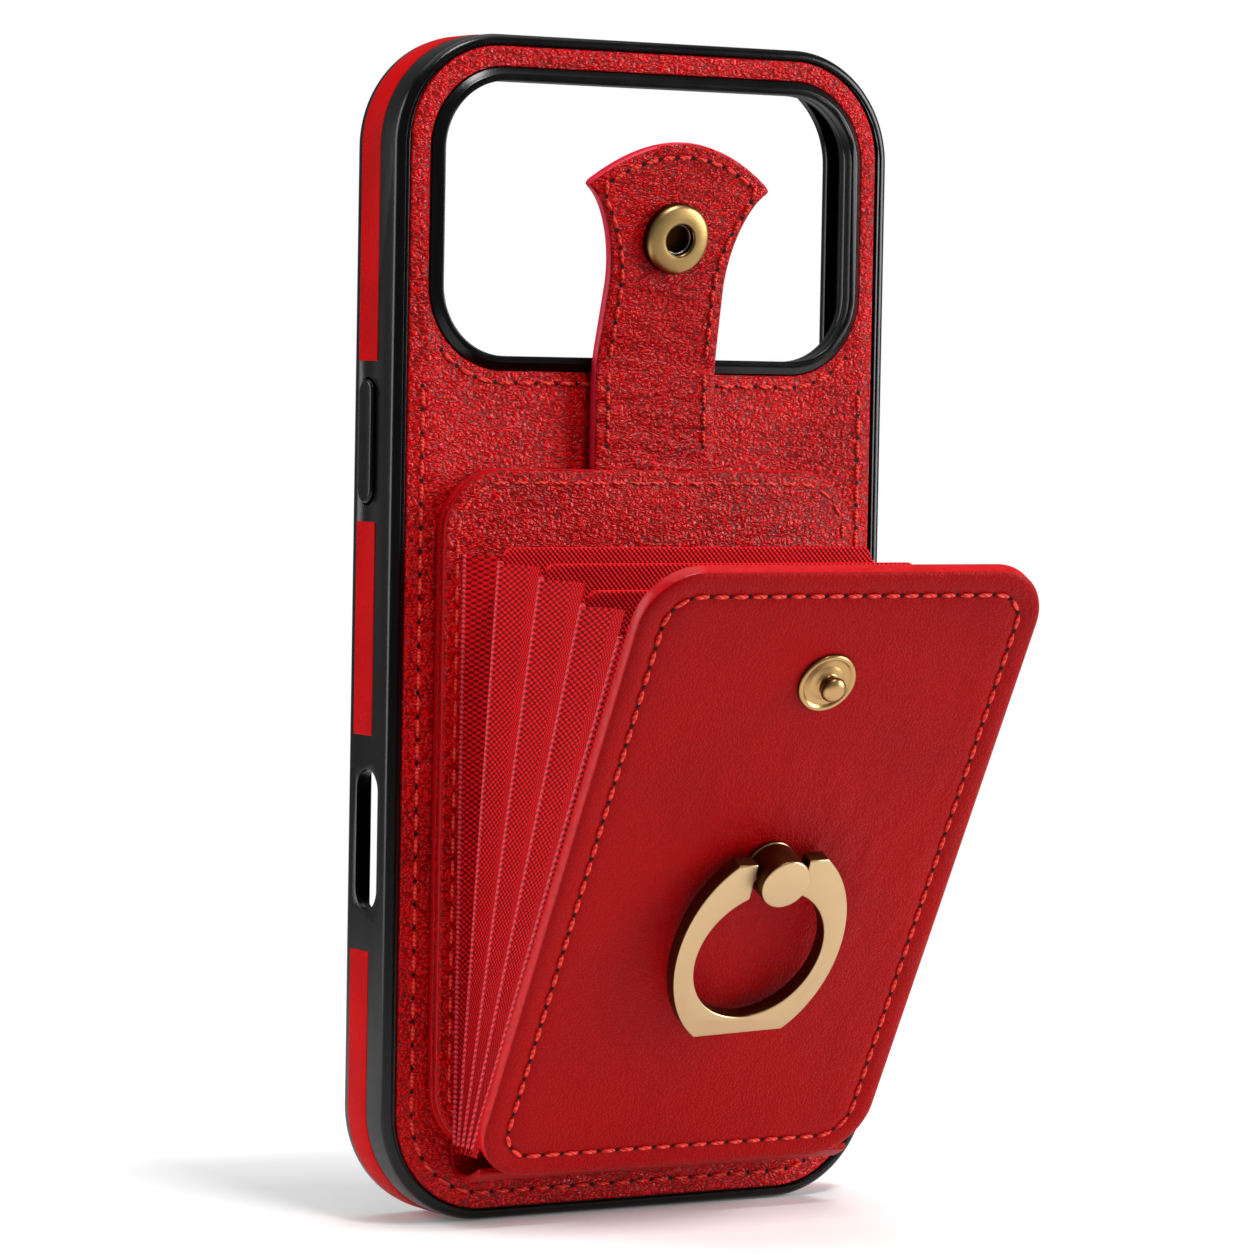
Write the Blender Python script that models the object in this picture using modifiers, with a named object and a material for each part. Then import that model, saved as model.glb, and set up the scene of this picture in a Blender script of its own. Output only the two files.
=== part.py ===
"""Phone wallet case: a hard frame shell with a leather back, and on it an accordion card wallet
with a snap strap and a finger ring.

Frame: metres, +Z up. The case stands on its short bottom edge, on z = 0, with x = 0 in its middle and
the face that the phone's back rests on in the plane y = 0. The wallet is on the -Y side.
Every measure along Y below is from the leather's outer face, which the empty named case sets behind
that plane. Rest pose: the wallet is fanned open, the strap stands up, the ring lies on the cover.
"""

import math

import bmesh
import bpy
from mathutils import Matrix, Vector

MM = 0.001
GAP = 0.3 * MM  # between pieces that touch on the real object

# Shell
CASE_WIDTH, CASE_HEIGHT, CASE_DEPTH = 81.2 * MM, 166.8 * MM, 12.4 * MM
CASE_CORNER = 16 * MM
WALL = 1.7 * MM
CAVITY_BACK, CAVITY_FRONT = 2.4 * MM, 11.2 * MM
LIP = 1.6 * MM  # how far the front lip covers the phone's edge
EDGE_ROUND = 1.1 * MM
MIDDLE = CASE_HEIGHT / 2

# Leather back panel and camera cut-out
LEATHER_WIDTH, LEATHER_HEIGHT, LEATHER_THICK = 77 * MM, 163.5 * MM, 0.8 * MM
LEATHER_CORNER = 14 * MM
CAMERA_X, CAMERA_Z = 0.25 * MM, 141.05 * MM
CAMERA_WIDTH, CAMERA_HEIGHT, CAMERA_CORNER = 67.3 * MM, 38.4 * MM, 9.8 * MM
RIM_WIDE, RIM_PROUD = 1.95 * MM, 0.7 * MM

# Features of the side walls
INLAY_Y, INLAY_WIDE, INLAY_THICK = 7.85 * MM, 5.5 * MM, 0.65 * MM
INLAY_END_X = 25 * MM  # where the inlays stop after turning a corner
ABOVE, BELOW = CASE_HEIGHT + MM, -MM  # clear of the case's ends
LEFT_INLAYS = {"top": (120.8 * MM, ABOVE), "middle": (68.4 * MM, 98.4 * MM), "bottom": (BELOW, 38.2 * MM)}
RIGHT_INLAYS = {"top": (138 * MM, ABOVE), "middle": (60 * MM, 96 * MM), "bottom": (BELOW, 46 * MM)}
KEY_WIDE, KEY_PROUD, KEY_ROUND = 4.0 * MM, 0.5 * MM, 0.4 * MM
KEY_FLANGE, KEY_FLANGE_ROOM = 0.7 * MM, 1.1 * MM  # how far a key's inner flange and its recess reach past it
KEYS = {
    "side_key": (-1, 100.9 * MM, 118.3 * MM),
    "action_key": (1, 127 * MM, 134 * MM),
    "volume_up_key": (1, 112.5 * MM, 123.5 * MM),
    "volume_down_key": (1, 98.8 * MM, 109.8 * MM),
}
SLOT_Y, SLOT_WIDE, SLOT_LOW, SLOT_HIGH = 6.3 * MM, 6.2 * MM, 43.9 * MM, 63.7 * MM
SCOOP_LOW, SCOOP_HIGH, SCOOP_DEEP = 41.2 * MM, 65.8 * MM, 0.7 * MM
PORT_Y, PORT_WIDE, PORT_HIGH = 6.8 * MM, 12.8 * MM, 6.2 * MM
SPEAKER_X, SPEAKER_WIDE, SPEAKER_HIGH = 17.5 * MM, 13 * MM, 4.6 * MM

# Wallet
PANEL_WIDTH, PANEL_LOW, PANEL_HIGH, PANEL_CORNER = 67.8 * MM, 9.9 * MM, 106.1 * MM, 9.5 * MM
PANEL_FRONT = -3.1 * MM
TAB_LOW, TAB_THICK = 95.5 * MM, 0.8 * MM  # the strap's sewn-in tab
OPENING = math.radians(28.15)
COVER_HINGE_Y, COVER_HINGE_Z = -9.62 * MM, 9.38 * MM
COVER_WIDTH, COVER_THICK, COVER_CORNER = 64.1 * MM, 2.8 * MM, 8.5 * MM
COVER_LOW, COVER_HIGH = -1.5 * MM, 96.35 * MM  # from the hinge, along the cover
COVER_SKIN, COVER_ROLL = 0.8 * MM, 1.2 * MM  # the leather's thickness, and the width of its turned-in edge
COVER_LINING = 0.5 * MM
POST_HOLE, WASHER_HOLE = 1.35 * MM, 3.3 * MM  # radii, for the posts of the stud and of the hub
DIVIDER_WIDTH, DIVIDER_HIGH, DIVIDER_THICK = 60.4 * MM, 85.5 * MM, 0.8 * MM
DIVIDER_HINGE_Y, DIVIDER_PITCH, DIVIDER_HINGE_Z = -3.88 * MM, 1.184 * MM, 10.5 * MM
DIVIDER_ANGLES = [math.radians(a) for a in (6.2, 13.3, 20.5, 27.1)]
GUSSET_X, GUSSET_THICK = 30.5 * MM, 0.6 * MM
GUSSET_REAR_HIGH, GUSSET_FIRST_HIGH = 83.2 * MM, 93 * MM  # along the rear divider, and up the back panel
SPINE_HALF = 30 * MM
SPINE = (  # (y, z) of its section in millimetres: a strip that curves under the dividers
    (-0.4, 8.6), (-0.9, 7.9), (-2, 7.4), (-6, 7.1), (-7.3, 7.4),
    (-7.1, 8.2), (-6, 8.1), (-2.2, 8.3), (-1.5, 8.7), (-1.0, 9.2),
)

# Strap
STRAP_Y, STRAP_THICK, PLY = -1.85 * MM, 1.9 * MM, 0.8 * MM
ROOT_FOLD_Z, BRIDGE_LONG = 107.5 * MM, 13.35 * MM
FOLD_HALF = 1.35 * MM  # half the length of each fold, on either side of its axis
FOLD_HALF_WIDTH, FOLD_THICK = 9.4 * MM, 0.9 * MM
HEAD_LEAN = math.radians(13)
SOCKET_UP = 18.76 * MM  # from the upper fold's axis
STEM_HALF, WAIST_HALF, TIP_HALF = 9.9 * MM, 9.5 * MM, 15.2 * MM
WAIST_UP, TIP_UP, CROWN_UP = 11 * MM, 25.8 * MM, 32.2 * MM
SEAM_START = 2.5 * MM  # where the strap's seam starts, up from the upper fold's axis
SNAP_HOLE = 2.4 * MM  # radius

# Snap and ring, on the cover: heights along it from its hinge, depths out from its face
STUD_UP = 79.4 * MM
RING_UP = 50.2 * MM
RING_TURN = math.radians(2.5)
HUB_RADIUS, HUB_HIGH = 3.75, 5.8  # millimetres, as all turned profiles are
PIVOT_OUT = 2.9 * MM
RING_THICK, RING_HALF_WIDTH, RING_HALF_HEIGHT = 2.4 * MM, 13.25 * MM, 16.8 * MM
RING_DROP = 11.7 * MM  # from the pivot down to the ring's centre
RING_TOP, RING_FOOT = 2.5 * MM, -25.9 * MM
RING_INNER_WIDTH, RING_INNER_HEIGHT, RING_INNER_DROP = 10.1 * MM, 10.4 * MM, 12.7 * MM
ARM_INSIDE = 4.05 * MM
RING_CHAMFER = 0.35 * MM
PIN_RADIUS, PIN_LONG, PIN_ROOM_LONG = 0.85 * MM, 13 * MM, 13.6 * MM
HUB_BORE, RING_BORE = 1.05 * MM, 1.0 * MM  # radii

# Sewing: each seam's distance in from its edge
THREAD_RADIUS, THREAD_OUT = 0.2 * MM, 0.25 * MM  # THREAD_OUT is its centre's height over the leather
BACK_SEAM, PANEL_SEAM, COVER_SEAM, STRAP_SEAM = 2.1 * MM, 2.2 * MM, 3.4 * MM, 1.9 * MM
CAMERA_SEAM = 1.6 * MM

PILL_CORNER = 0.49  # a pill's corners, as a share of its width: just under a full half round

RED = (0.36, 0.008, 0.014)
MATERIALS = {
    "black_plastic": ((0.008, 0.008, 0.009), 0.3, 0.0),
    "red_leather": (RED, 0.45, 0.0),
    "red_fabric": ((0.45, 0.01, 0.02), 0.8, 0.0),
    "red_thread": ((0.5, 0.015, 0.02), 0.7, 0.0),
    "grey_board": ((0.25, 0.24, 0.22), 0.9, 0.0),
    "antique_brass": ((0.42, 0.3, 0.13), 0.35, 1.0),
    "spring_steel": ((0.5, 0.5, 0.5), 0.3, 1.0),
}


def clear_scene():
    for obj in list(bpy.data.objects):
        bpy.data.objects.remove(obj, do_unlink=True)


def collection(name, hidden=False):
    made = bpy.data.collections.new(name)
    bpy.context.scene.collection.children.link(made)
    made.hide_render = hidden
    return made


def material(name, finish):
    colour, roughness, metallic = MATERIALS[finish]
    made = bpy.data.materials.new(name)
    made.use_nodes = True
    shader = made.node_tree.nodes["Principled BSDF"]
    shader.inputs["Base Color"].default_value = (*colour, 1)
    shader.inputs["Roughness"].default_value = roughness
    shader.inputs["Metallic"].default_value = metallic
    return made


def add(name, bm, finish, parent=None, at=(0, 0, 0)):
    """A part from a bmesh, which is freed. Its mesh is in its parent's frame, less its own place."""
    mesh = bpy.data.meshes.new(name)
    bmesh.ops.recalc_face_normals(bm, faces=bm.faces)
    bm.to_mesh(mesh)
    bm.free()
    obj = bpy.data.objects.new(name, mesh)
    PARTS.objects.link(obj)
    obj.location = at
    obj.parent = parent or CASE
    mesh.materials.append(material(name, finish))
    return obj


def add_cutter(name, bm, parent=None, at=(0, 0, 0)):
    obj = add(name, bm, "grey_board", parent, at)
    PARTS.objects.unlink(obj)
    CUTTERS.objects.link(obj)
    obj.hide_render = True
    obj.display_type = "WIRE"
    return obj


def boolean(obj, other, operation="DIFFERENCE"):
    modifier = obj.modifiers.new(f"{operation.title()} {other.name}", "BOOLEAN")
    modifier.operation = operation
    modifier.object = other


def case_empty():
    """The empty that everything is placed from: it puts the phone's seat on y = 0."""
    empty = bpy.data.objects.new("case", None)
    PARTS.objects.link(empty)
    empty.location.y = -CAVITY_BACK
    return empty


def joint_empty(name, at, turn_x=0.0, parent=None):
    empty = bpy.data.objects.new(name, None)
    PARTS.objects.link(empty)
    empty.location = at
    empty.rotation_euler.x = turn_x
    empty.parent = parent or CASE
    return empty


def smooth(obj, angle=35):
    obj.data.shade_smooth()
    obj.data.set_sharp_from_angle(angle=math.radians(angle))


def slab(x, z, y, corner=0.0, segments=6, round_back=0.0, round_front=0.0, round_segments=2):
    """A plate: x, z and y are its (low, high). Its corners, seen along Y, are rounded by corner, and
    its rims at low y and at high y by round_back and round_front."""
    bm = bmesh.new()
    bmesh.ops.create_cube(bm, size=1)
    size = Vector((x[1] - x[0], y[1] - y[0], z[1] - z[0]))
    centre = Vector((x[0] + x[1], y[0] + y[1], z[0] + z[1])) / 2
    bmesh.ops.scale(bm, vec=size, verts=bm.verts)
    bmesh.ops.translate(bm, vec=centre, verts=bm.verts)
    if corner:
        edges = [e for e in bm.edges if abs((e.verts[0].co - e.verts[1].co).y) > size.y / 2]
        bevel(bm, edges, corner, segments)
    for width, side in ((round_back, y[0]), (round_front, y[1])):
        if width:
            rim = [e for e in bm.edges if all(abs(v.co.y - side) < 1e-7 for v in e.verts)]
            bevel(bm, rim, width, round_segments)
    return bm


def bevel(bm, edges, width, segments):
    bmesh.ops.bevel(
        bm, geom=edges, offset=width, segments=segments, profile=0.5, affect="EDGES",
        clamp_overlap=True, material=-1,
    )


def centred(x, z, width, height):
    return (x - width / 2, x + width / 2), (z - height / 2, z + height / 2)


def turned_about_z(bm, angle):
    bmesh.ops.rotate(bm, cent=(0, 0, 0), matrix=Matrix.Rotation(angle, 3, "Z"), verts=bm.verts)
    return bm


def wall_pill(side, y, z_low, z_high, wide, x_near, x_far, round_out=0.0):
    """A pill through a side wall: its depth runs along X, from x_near to x_far out from the middle."""
    x, y_of_pill = (-wide / 2, wide / 2), (-x_far, -x_near)
    bm = slab(x, (z_low, z_high), y_of_pill, wide * PILL_CORNER, 5, round_back=round_out)
    turned_about_z(bm, side * math.pi / 2)
    bmesh.ops.translate(bm, vec=(0, y, 0), verts=bm.verts)
    return bm


def floor_pill(x, y, wide, high, z_low, z_high):
    """A pill through the bottom wall, its depth along Z."""
    bm = slab((-wide / 2, wide / 2), (-high / 2, high / 2), (z_low, z_high), high * PILL_CORNER, 5)
    bmesh.ops.rotate(bm, cent=(0, 0, 0), matrix=Matrix.Rotation(math.pi / 2, 3, "X"), verts=bm.verts)
    bmesh.ops.translate(bm, vec=(x, y, 0), verts=bm.verts)
    return bm


def extruded(points, move):
    """A solid from a flat outline and the way that it is pulled."""
    bm = bmesh.new()
    face = bm.faces.new([bm.verts.new(point) for point in points])
    grown = bmesh.ops.extrude_face_region(bm, geom=[face])["geom"]
    moved = [g for g in grown if isinstance(g, bmesh.types.BMVert)]
    bmesh.ops.translate(bm, vec=move, verts=moved)
    return bm


def prism(outline, x_low, x_high):
    """A solid whose section in the YZ plane is outline, from x_low to x_high."""
    return extruded([(x_low, y, z) for y, z in outline], (x_high - x_low, 0, 0))


def plate(outline, y_low, y_high):
    """A solid whose outline in the XZ plane is given, from y_low to y_high."""
    return extruded([(x, y_low, z) for x, z in outline], (0, y_high - y_low, 0))


def cylinder(radius, length, along, at=(0, 0, 0), segments=16):
    """A cylinder along X or Y, centred on at."""
    bm = bmesh.new()
    turn = Matrix.Rotation(math.pi / 2, 4, "Y" if along == "X" else "X")
    bmesh.ops.create_cone(
        bm, cap_ends=True, segments=segments, radius1=radius, radius2=radius, depth=length,
        matrix=Matrix.Translation(at) @ turn,
    )
    return bm


def turned(name, profile, finish, parent, at, steps=32, closed=False):
    """A turned part. profile is (radius, height) in millimetres, down its outer side, and heights run
    out along -Y. A closed profile makes a ring."""
    mesh = bpy.data.meshes.new(name)
    points = [(radius * MM, 0, height * MM) for radius, height in profile]
    edges = [(i, i + 1) for i in range(len(points) - 1)]
    if closed:
        edges.append((len(points) - 1, 0))
    mesh.from_pydata(points, edges, [])
    obj = bpy.data.objects.new(name, mesh)
    PARTS.objects.link(obj)
    obj.location = at
    obj.rotation_euler.x = math.pi / 2
    obj.parent = parent or CASE
    mesh.materials.append(material(name, finish))
    screw = obj.modifiers.new("Turn", "SCREW")
    screw.steps = screw.render_steps = steps
    screw.use_merge_vertices = True
    screw.merge_threshold = 0.00001
    screw.use_smooth_shade = True
    return obj


def thread(name, points, parent=None, cyclic=True):
    """A sewing thread laid along the points, which stand clear of the leather by its radius and a gap."""
    curve = bpy.data.curves.new(name, "CURVE")
    curve.dimensions = "3D"
    curve.bevel_depth = THREAD_RADIUS
    curve.bevel_resolution = 1
    curve.use_fill_caps = True
    spline = curve.splines.new("POLY")
    spline.points.add(len(points) - 1)
    for point, place in zip(spline.points, points):
        point.co = (*place, 1)
    spline.use_cyclic_u = cyclic
    obj = bpy.data.objects.new(name, curve)
    PARTS.objects.link(obj)
    obj.parent = parent or CASE
    curve.materials.append(material(name, "red_thread"))
    return obj


def arc(cx, cz, radius, start, end, count):
    """Points (x, z) on an arc, from start to end in degrees."""
    angles = (math.radians(start + (end - start) * i / count) for i in range(count + 1))
    return [(cx + radius * math.cos(a), cz + radius * math.sin(a)) for a in angles]


def rounded_loop(half_width, low, high, corner, count=5):
    """(x, z) points of a rounded rectangle, anticlockwise from the bottom right corner."""
    x = half_width - corner
    return (
        arc(x, low + corner, corner, -90, 0, count)
        + arc(x, high - corner, corner, 0, 90, count)
        + arc(-x, high - corner, corner, 90, 180, count)
        + arc(-x, low + corner, corner, 180, 270, count)
    )


def case_slab(inset, y, **rounding):
    """A slab that follows the case's outline, inset from it all round."""
    half = CASE_WIDTH / 2 - inset
    return slab((-half, half), (inset, CASE_HEIGHT - inset), y, CASE_CORNER - inset, 8, **rounding)


def wall_band(name, side, z, inset_out, inset_in, wide, add_piece):
    """The part of the case's wall between two insets, on one side of the case and between two heights."""
    y = (INLAY_Y - wide / 2, INLAY_Y + wide / 2)
    band = add_piece(name, case_slab(inset_out, y))
    core = add_cutter(f"cut_{name}_core", case_slab(inset_in, (y[0] - MM, y[1] + MM)))
    boolean(band, core)
    x = sorted((side * INLAY_END_X, side * CASE_WIDTH))
    window = add_cutter(f"cut_{name}_window", slab(x, z, (y[0] - MM, y[1] + MM)))
    boolean(band, window, "INTERSECT")
    return band


def shell():
    block = case_slab(0, (0, CASE_DEPTH), round_back=EDGE_ROUND, round_front=EDGE_ROUND)
    body = add("frame_shell", block, "black_plastic")

    x, z = centred(CAMERA_X, CAMERA_Z, CAMERA_WIDTH + 2 * RIM_WIDE, CAMERA_HEIGHT + 2 * RIM_WIDE)
    raised = slab(x, z, (-RIM_PROUD, 2 * MM), CAMERA_CORNER + RIM_WIDE, 6, round_back=0.6 * MM)

    cuts = {
        "cavity": case_slab(WALL, (CAVITY_BACK, CAVITY_FRONT)),
        "mouth": case_slab(WALL + LIP, (CAVITY_FRONT - MM, CASE_DEPTH + MM)),
    }
    x, z = centred(0, MIDDLE, LEATHER_WIDTH + 2 * GAP, LEATHER_HEIGHT + 2 * GAP)
    cuts["leather_seat"] = slab(x, z, (-MM, LEATHER_THICK + GAP), LEATHER_CORNER + GAP, 8)
    for name, bm in cuts.items():
        boolean(body, add_cutter(f"cut_{name}", bm))
    boolean(body, add_cutter("camera_rim", raised), "UNION")
    x, z = centred(CAMERA_X, CAMERA_Z, CAMERA_WIDTH, CAMERA_HEIGHT)
    boolean(body, add_cutter("cut_camera", slab(x, z, (-3 * MM, 5 * MM), CAMERA_CORNER, 6)))

    for side, name, inlays in ((-1, "left", LEFT_INLAYS), (1, "right", RIGHT_INLAYS)):
        for place, (low, high) in inlays.items():
            seat = wall_band(
                f"cut_seat_{name}_{place}", side, (low - GAP, high + GAP), -MM, INLAY_THICK + GAP,
                INLAY_WIDE + 2 * GAP, add_cutter,
            )
            boolean(body, seat)

    wall = CASE_WIDTH / 2
    inside, outside = wall - 3 * MM, wall + MM  # clear of the wall's two faces
    for name, (side, low, high) in KEYS.items():
        hole = wall_pill(side, INLAY_Y, low - GAP, high + GAP, KEY_WIDE + 2 * GAP, inside, outside)
        boolean(body, add_cutter(f"cut_{name}", hole))
        room = KEY_FLANGE_ROOM
        recess = wall_pill(
            side, INLAY_Y, low - room, high + room, KEY_WIDE + 2 * room, inside, wall - 0.8 * MM
        )
        boolean(body, add_cutter(f"cut_{name}_flange", recess))

    scoop = wall_pill(-1, SLOT_Y, SCOOP_LOW, SCOOP_HIGH, SLOT_WIDE + 3 * MM, wall - SCOOP_DEEP, outside)
    boolean(body, add_cutter("cut_scoop", scoop))
    slot = wall_pill(-1, SLOT_Y, SLOT_LOW, SLOT_HIGH, SLOT_WIDE, inside, outside)
    boolean(body, add_cutter("cut_slot", slot))
    boolean(body, add_cutter("cut_port", floor_pill(0, PORT_Y, PORT_WIDE, PORT_HIGH, -MM, 3 * MM)))
    for side in (-1, 1):
        grille = floor_pill(side * SPEAKER_X, PORT_Y, SPEAKER_WIDE, SPEAKER_HIGH, -MM, 3 * MM)
        boolean(body, add_cutter(f"cut_speaker_{side}", grille))
    smooth(body)


def leather_back():
    x, z = centred(0, MIDDLE, LEATHER_WIDTH, LEATHER_HEIGHT)
    panel = add("back_leather", slab(x, z, (0, LEATHER_THICK), LEATHER_CORNER, 8), "red_leather")
    clear = RIM_WIDE + GAP
    x, z = centred(CAMERA_X, CAMERA_Z, CAMERA_WIDTH + 2 * clear, CAMERA_HEIGHT + 2 * clear)
    boolean(panel, add_cutter("cut_leather_camera", slab(x, z, (-MM, 2 * MM), CAMERA_CORNER + clear, 6)))

    # the seam runs round the bottom and dips round the cut-out's two lower corners
    camera_corner = CAMERA_CORNER + clear + CAMERA_SEAM
    camera_x, camera_z = CAMERA_WIDTH / 2 - CAMERA_CORNER, CAMERA_Z - CAMERA_HEIGHT / 2 + CAMERA_CORNER
    corner = LEATHER_CORNER - BACK_SEAM
    corner_x = LEATHER_WIDTH / 2 - LEATHER_CORNER
    corner_z = MIDDLE - LEATHER_HEIGHT / 2 + LEATHER_CORNER
    outline = (
        arc(corner_x, corner_z, corner, -90, 0, 5)
        + arc(camera_x, camera_z, camera_corner, -22, -90, 5)
        + arc(-camera_x, camera_z, camera_corner, 270, 202, 5)
        + arc(-corner_x, corner_z, corner, 180, 270, 5)
    )
    thread("back_thread", [(px, -THREAD_OUT, pz) for px, pz in outline])


def side_inlays():
    def leather(name, bm):
        return add(name, bm, "red_leather")

    for side, name, inlays in ((-1, "left", LEFT_INLAYS), (1, "right", RIGHT_INLAYS)):
        for place, span in inlays.items():
            wall_band(f"inlay_{name}_{place}", side, span, 0.05 * MM, INLAY_THICK, INLAY_WIDE, leather)


def key_covers():
    wall = CASE_WIDTH / 2
    for name, (side, low, high) in KEYS.items():
        origin = Vector((side * wall, INLAY_Y, (low + high) / 2))
        pad = wall_pill(side, INLAY_Y, low, high, KEY_WIDE, wall - 1.2 * MM, wall + KEY_PROUD, KEY_ROUND)
        reach = KEY_FLANGE
        flange = wall_pill(
            side, INLAY_Y, low - reach, high + reach, KEY_WIDE + 2 * reach, wall - 1.65 * MM, wall - 1.1 * MM
        )
        for bm in (pad, flange):
            bmesh.ops.translate(bm, vec=-origin, verts=bm.verts)
        cover = add(name, pad, "black_plastic", at=origin)
        boolean(cover, add_cutter(f"{name}_flange", flange, at=origin), "UNION")
        smooth(cover)


def wallet_back():
    half = PANEL_WIDTH / 2
    block = slab(
        (-half, half), (PANEL_LOW, PANEL_HIGH), (PANEL_FRONT, -GAP), PANEL_CORNER, 6, round_back=0.7 * MM
    )
    panel = add("wallet_back_panel", block, "red_leather")
    room_half, room_low = TAB_THICK / 2 + 0.25 * MM, TAB_LOW - 0.5 * MM
    room_x, room_y = (-STEM_HALF - GAP, STEM_HALF + GAP), (STRAP_Y - room_half, STRAP_Y + room_half)
    pocket = slab(room_x, (room_low, PANEL_HIGH + MM), room_y)
    boolean(panel, add_cutter("cut_strap_pocket", pocket))
    tab_y = (STRAP_Y - TAB_THICK / 2, STRAP_Y + TAB_THICK / 2)
    add("strap_tab", slab((-STEM_HALF, STEM_HALF), (TAB_LOW, ROOT_FOLD_Z - FOLD_HALF), tab_y), "red_leather")

    # the seam is outside the gussets, and stops where the panel's bottom corners start
    x, corner, low = half - PANEL_SEAM, PANEL_CORNER - PANEL_SEAM, PANEL_LOW + PANEL_CORNER
    top = PANEL_HIGH - PANEL_CORNER
    over = arc(x - corner, top, corner, 0, 90, 5) + arc(corner - x, top, corner, 90, 180, 5)
    line = [(x, low), *over, (-x, low)]
    thread("panel_thread", [(px, PANEL_FRONT - THREAD_OUT, pz) for px, pz in line], cyclic=False)

    section = [(y * MM, z * MM) for y, z in SPINE]
    add("hinge_spine", prism(section, -SPINE_HALF, SPINE_HALF), "red_leather")


def on_divider(index, along):
    """(y, z) of a point on the middle line of a fanned divider, this far from its hinge."""
    angle = DIVIDER_ANGLES[index]
    y = DIVIDER_HINGE_Y - index * DIVIDER_PITCH
    return y - along * math.sin(angle), DIVIDER_HINGE_Z + along * math.cos(angle)


def dividers_and_gussets(cover):
    """Five pairs of gussets between the back panel, the four dividers and the cover. Each pair belongs
    to the leaf in front of it."""
    half = DIVIDER_WIDTH / 2
    hinges = []
    for i, angle in enumerate(DIVIDER_ANGLES):
        place = (0, DIVIDER_HINGE_Y - i * DIVIDER_PITCH, DIVIDER_HINGE_Z)
        hinge = joint_empty(f"divider_{i + 1}_hinge", place, angle)
        hinges.append(hinge)
        leaf = slab((-half, half), (0, DIVIDER_HIGH), (-DIVIDER_THICK / 2, DIVIDER_THICK / 2), 2.5 * MM, 3)
        add(f"divider_{i + 1}", leaf, "red_fabric", hinge)
    hinges.append(cover)

    # the cover's inner face, as a line in the YZ plane
    inner_y = COVER_HINGE_Y + (COVER_THICK / 2 + GAP) * math.cos(OPENING)
    inner_z = COVER_HINGE_Z + (COVER_THICK / 2 + GAP) * math.sin(OPENING)
    apart = GAP / 2
    for i, hinge in enumerate(hinges):
        if i == 0:
            rear = [(PANEL_FRONT - GAP, DIVIDER_HINGE_Z + MM), (PANEL_FRONT - GAP, GUSSET_FIRST_HIGH)]
        else:
            low, high = on_divider(i - 1, MM), on_divider(i - 1, GUSSET_REAR_HIGH)
            rear = [(low[0] - apart, low[1]), (high[0] - apart, high[1])]
        top = rear[1][1]
        if hinge is not cover:
            along = (top - DIVIDER_HINGE_Z) / math.cos(DIVIDER_ANGLES[i])
            low, high = on_divider(i, MM), on_divider(i, along)
            front = [(high[0] + apart, high[1]), (low[0] + apart, low[1])]
        else:
            bottom = DIVIDER_HINGE_Z + 1.6 * MM
            front = [(inner_y - (z - inner_z) * math.tan(OPENING), z) for z in (top, bottom)]
        for side, name in ((-1, "left"), (1, "right")):
            x = sorted((side * GUSSET_X, side * (GUSSET_X + GUSSET_THICK)))
            gusset = add(f"gusset_{name}_{i + 1}", prism(rear + front, *x), "red_fabric", hinge)
            gusset.matrix_parent_inverse = parent_inverse(hinge)


def parent_inverse(hinge):
    """What keeps a child, built in the case's frame, in its place under an empty turned about X."""
    turn = Matrix.Rotation(hinge.rotation_euler.x, 4, "X")
    return (Matrix.Translation(hinge.location) @ turn).inverted()


def front_cover():
    hinge = joint_empty("cover_hinge", (0, COVER_HINGE_Y, COVER_HINGE_Z), OPENING)
    half, out, inner = COVER_WIDTH / 2, -COVER_THICK / 2, COVER_THICK / 2
    block = slab(
        (-half, half), (COVER_LOW, COVER_HIGH), (out, inner), COVER_CORNER, 6,
        round_back=MM, round_front=0.5 * MM,
    )
    outer = add("cover_leather", block, "red_leather", hinge)

    def leaf(edge, y):
        x, z = (edge - half, half - edge), (COVER_LOW + edge, COVER_HIGH - edge)
        return slab(x, z, y, COVER_CORNER - edge, 6)

    boolean(outer, add_cutter("cut_cover_tray", leaf(COVER_ROLL, (out + COVER_SKIN, inner + MM)), hinge))
    edge = COVER_ROLL + GAP
    board_y = (out + COVER_SKIN + 0.2 * MM, inner - COVER_LINING - 0.2 * MM)
    board = add("cover_board", leaf(edge, board_y), "grey_board", hinge)
    add("cover_lining", leaf(edge, (inner - COVER_LINING, inner)), "red_leather", hinge)

    for name, height in (("stud", STUD_UP), ("hub", RING_UP)):
        hole = cylinder(POST_HOLE, 3 * MM, "Y", (0, out, height))
        boolean(outer, add_cutter(f"cut_{name}_skin", hole, hinge))
        seat = cylinder(WASHER_HOLE, 6 * MM, "Y", (0, 0, height), 20)
        boolean(board, add_cutter(f"cut_{name}_board", seat, hinge))
        washer = [(1.3, 0.45), (3.0, 0.45), (3.0, -0.15), (1.3, -0.15)]
        # heights run out from the middle of the cover's thickness
        turned(f"{name}_washer", washer, "antique_brass", hinge, (0, 0, height), 20, True)

    seam = COVER_SEAM
    loop = rounded_loop(half - seam, COVER_LOW + seam, COVER_HIGH - seam, COVER_CORNER - seam)
    thread("cover_thread", [(x, out - THREAD_OUT, z) for x, z in loop], hinge)

    stud = [
        (0, 4.65), (0.9, 4.55), (1.55, 4.2), (1.85, 3.6), (1.55, 3.1), (1.35, 2.7), (1.6, 2.2),
        (2.3, 2.05), (2.6, 1.85), (3.5, 1.85), (3.8, 2.2), (4.2, 2.2), (4.4, 1.95), (4.4, 1.55),
        (1.05, 1.55), (1.05, -0.45), (0, -0.45),
    ]
    turned("snap_stud", stud, "antique_brass", hinge, (0, 0, STUD_UP))
    return hinge


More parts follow.
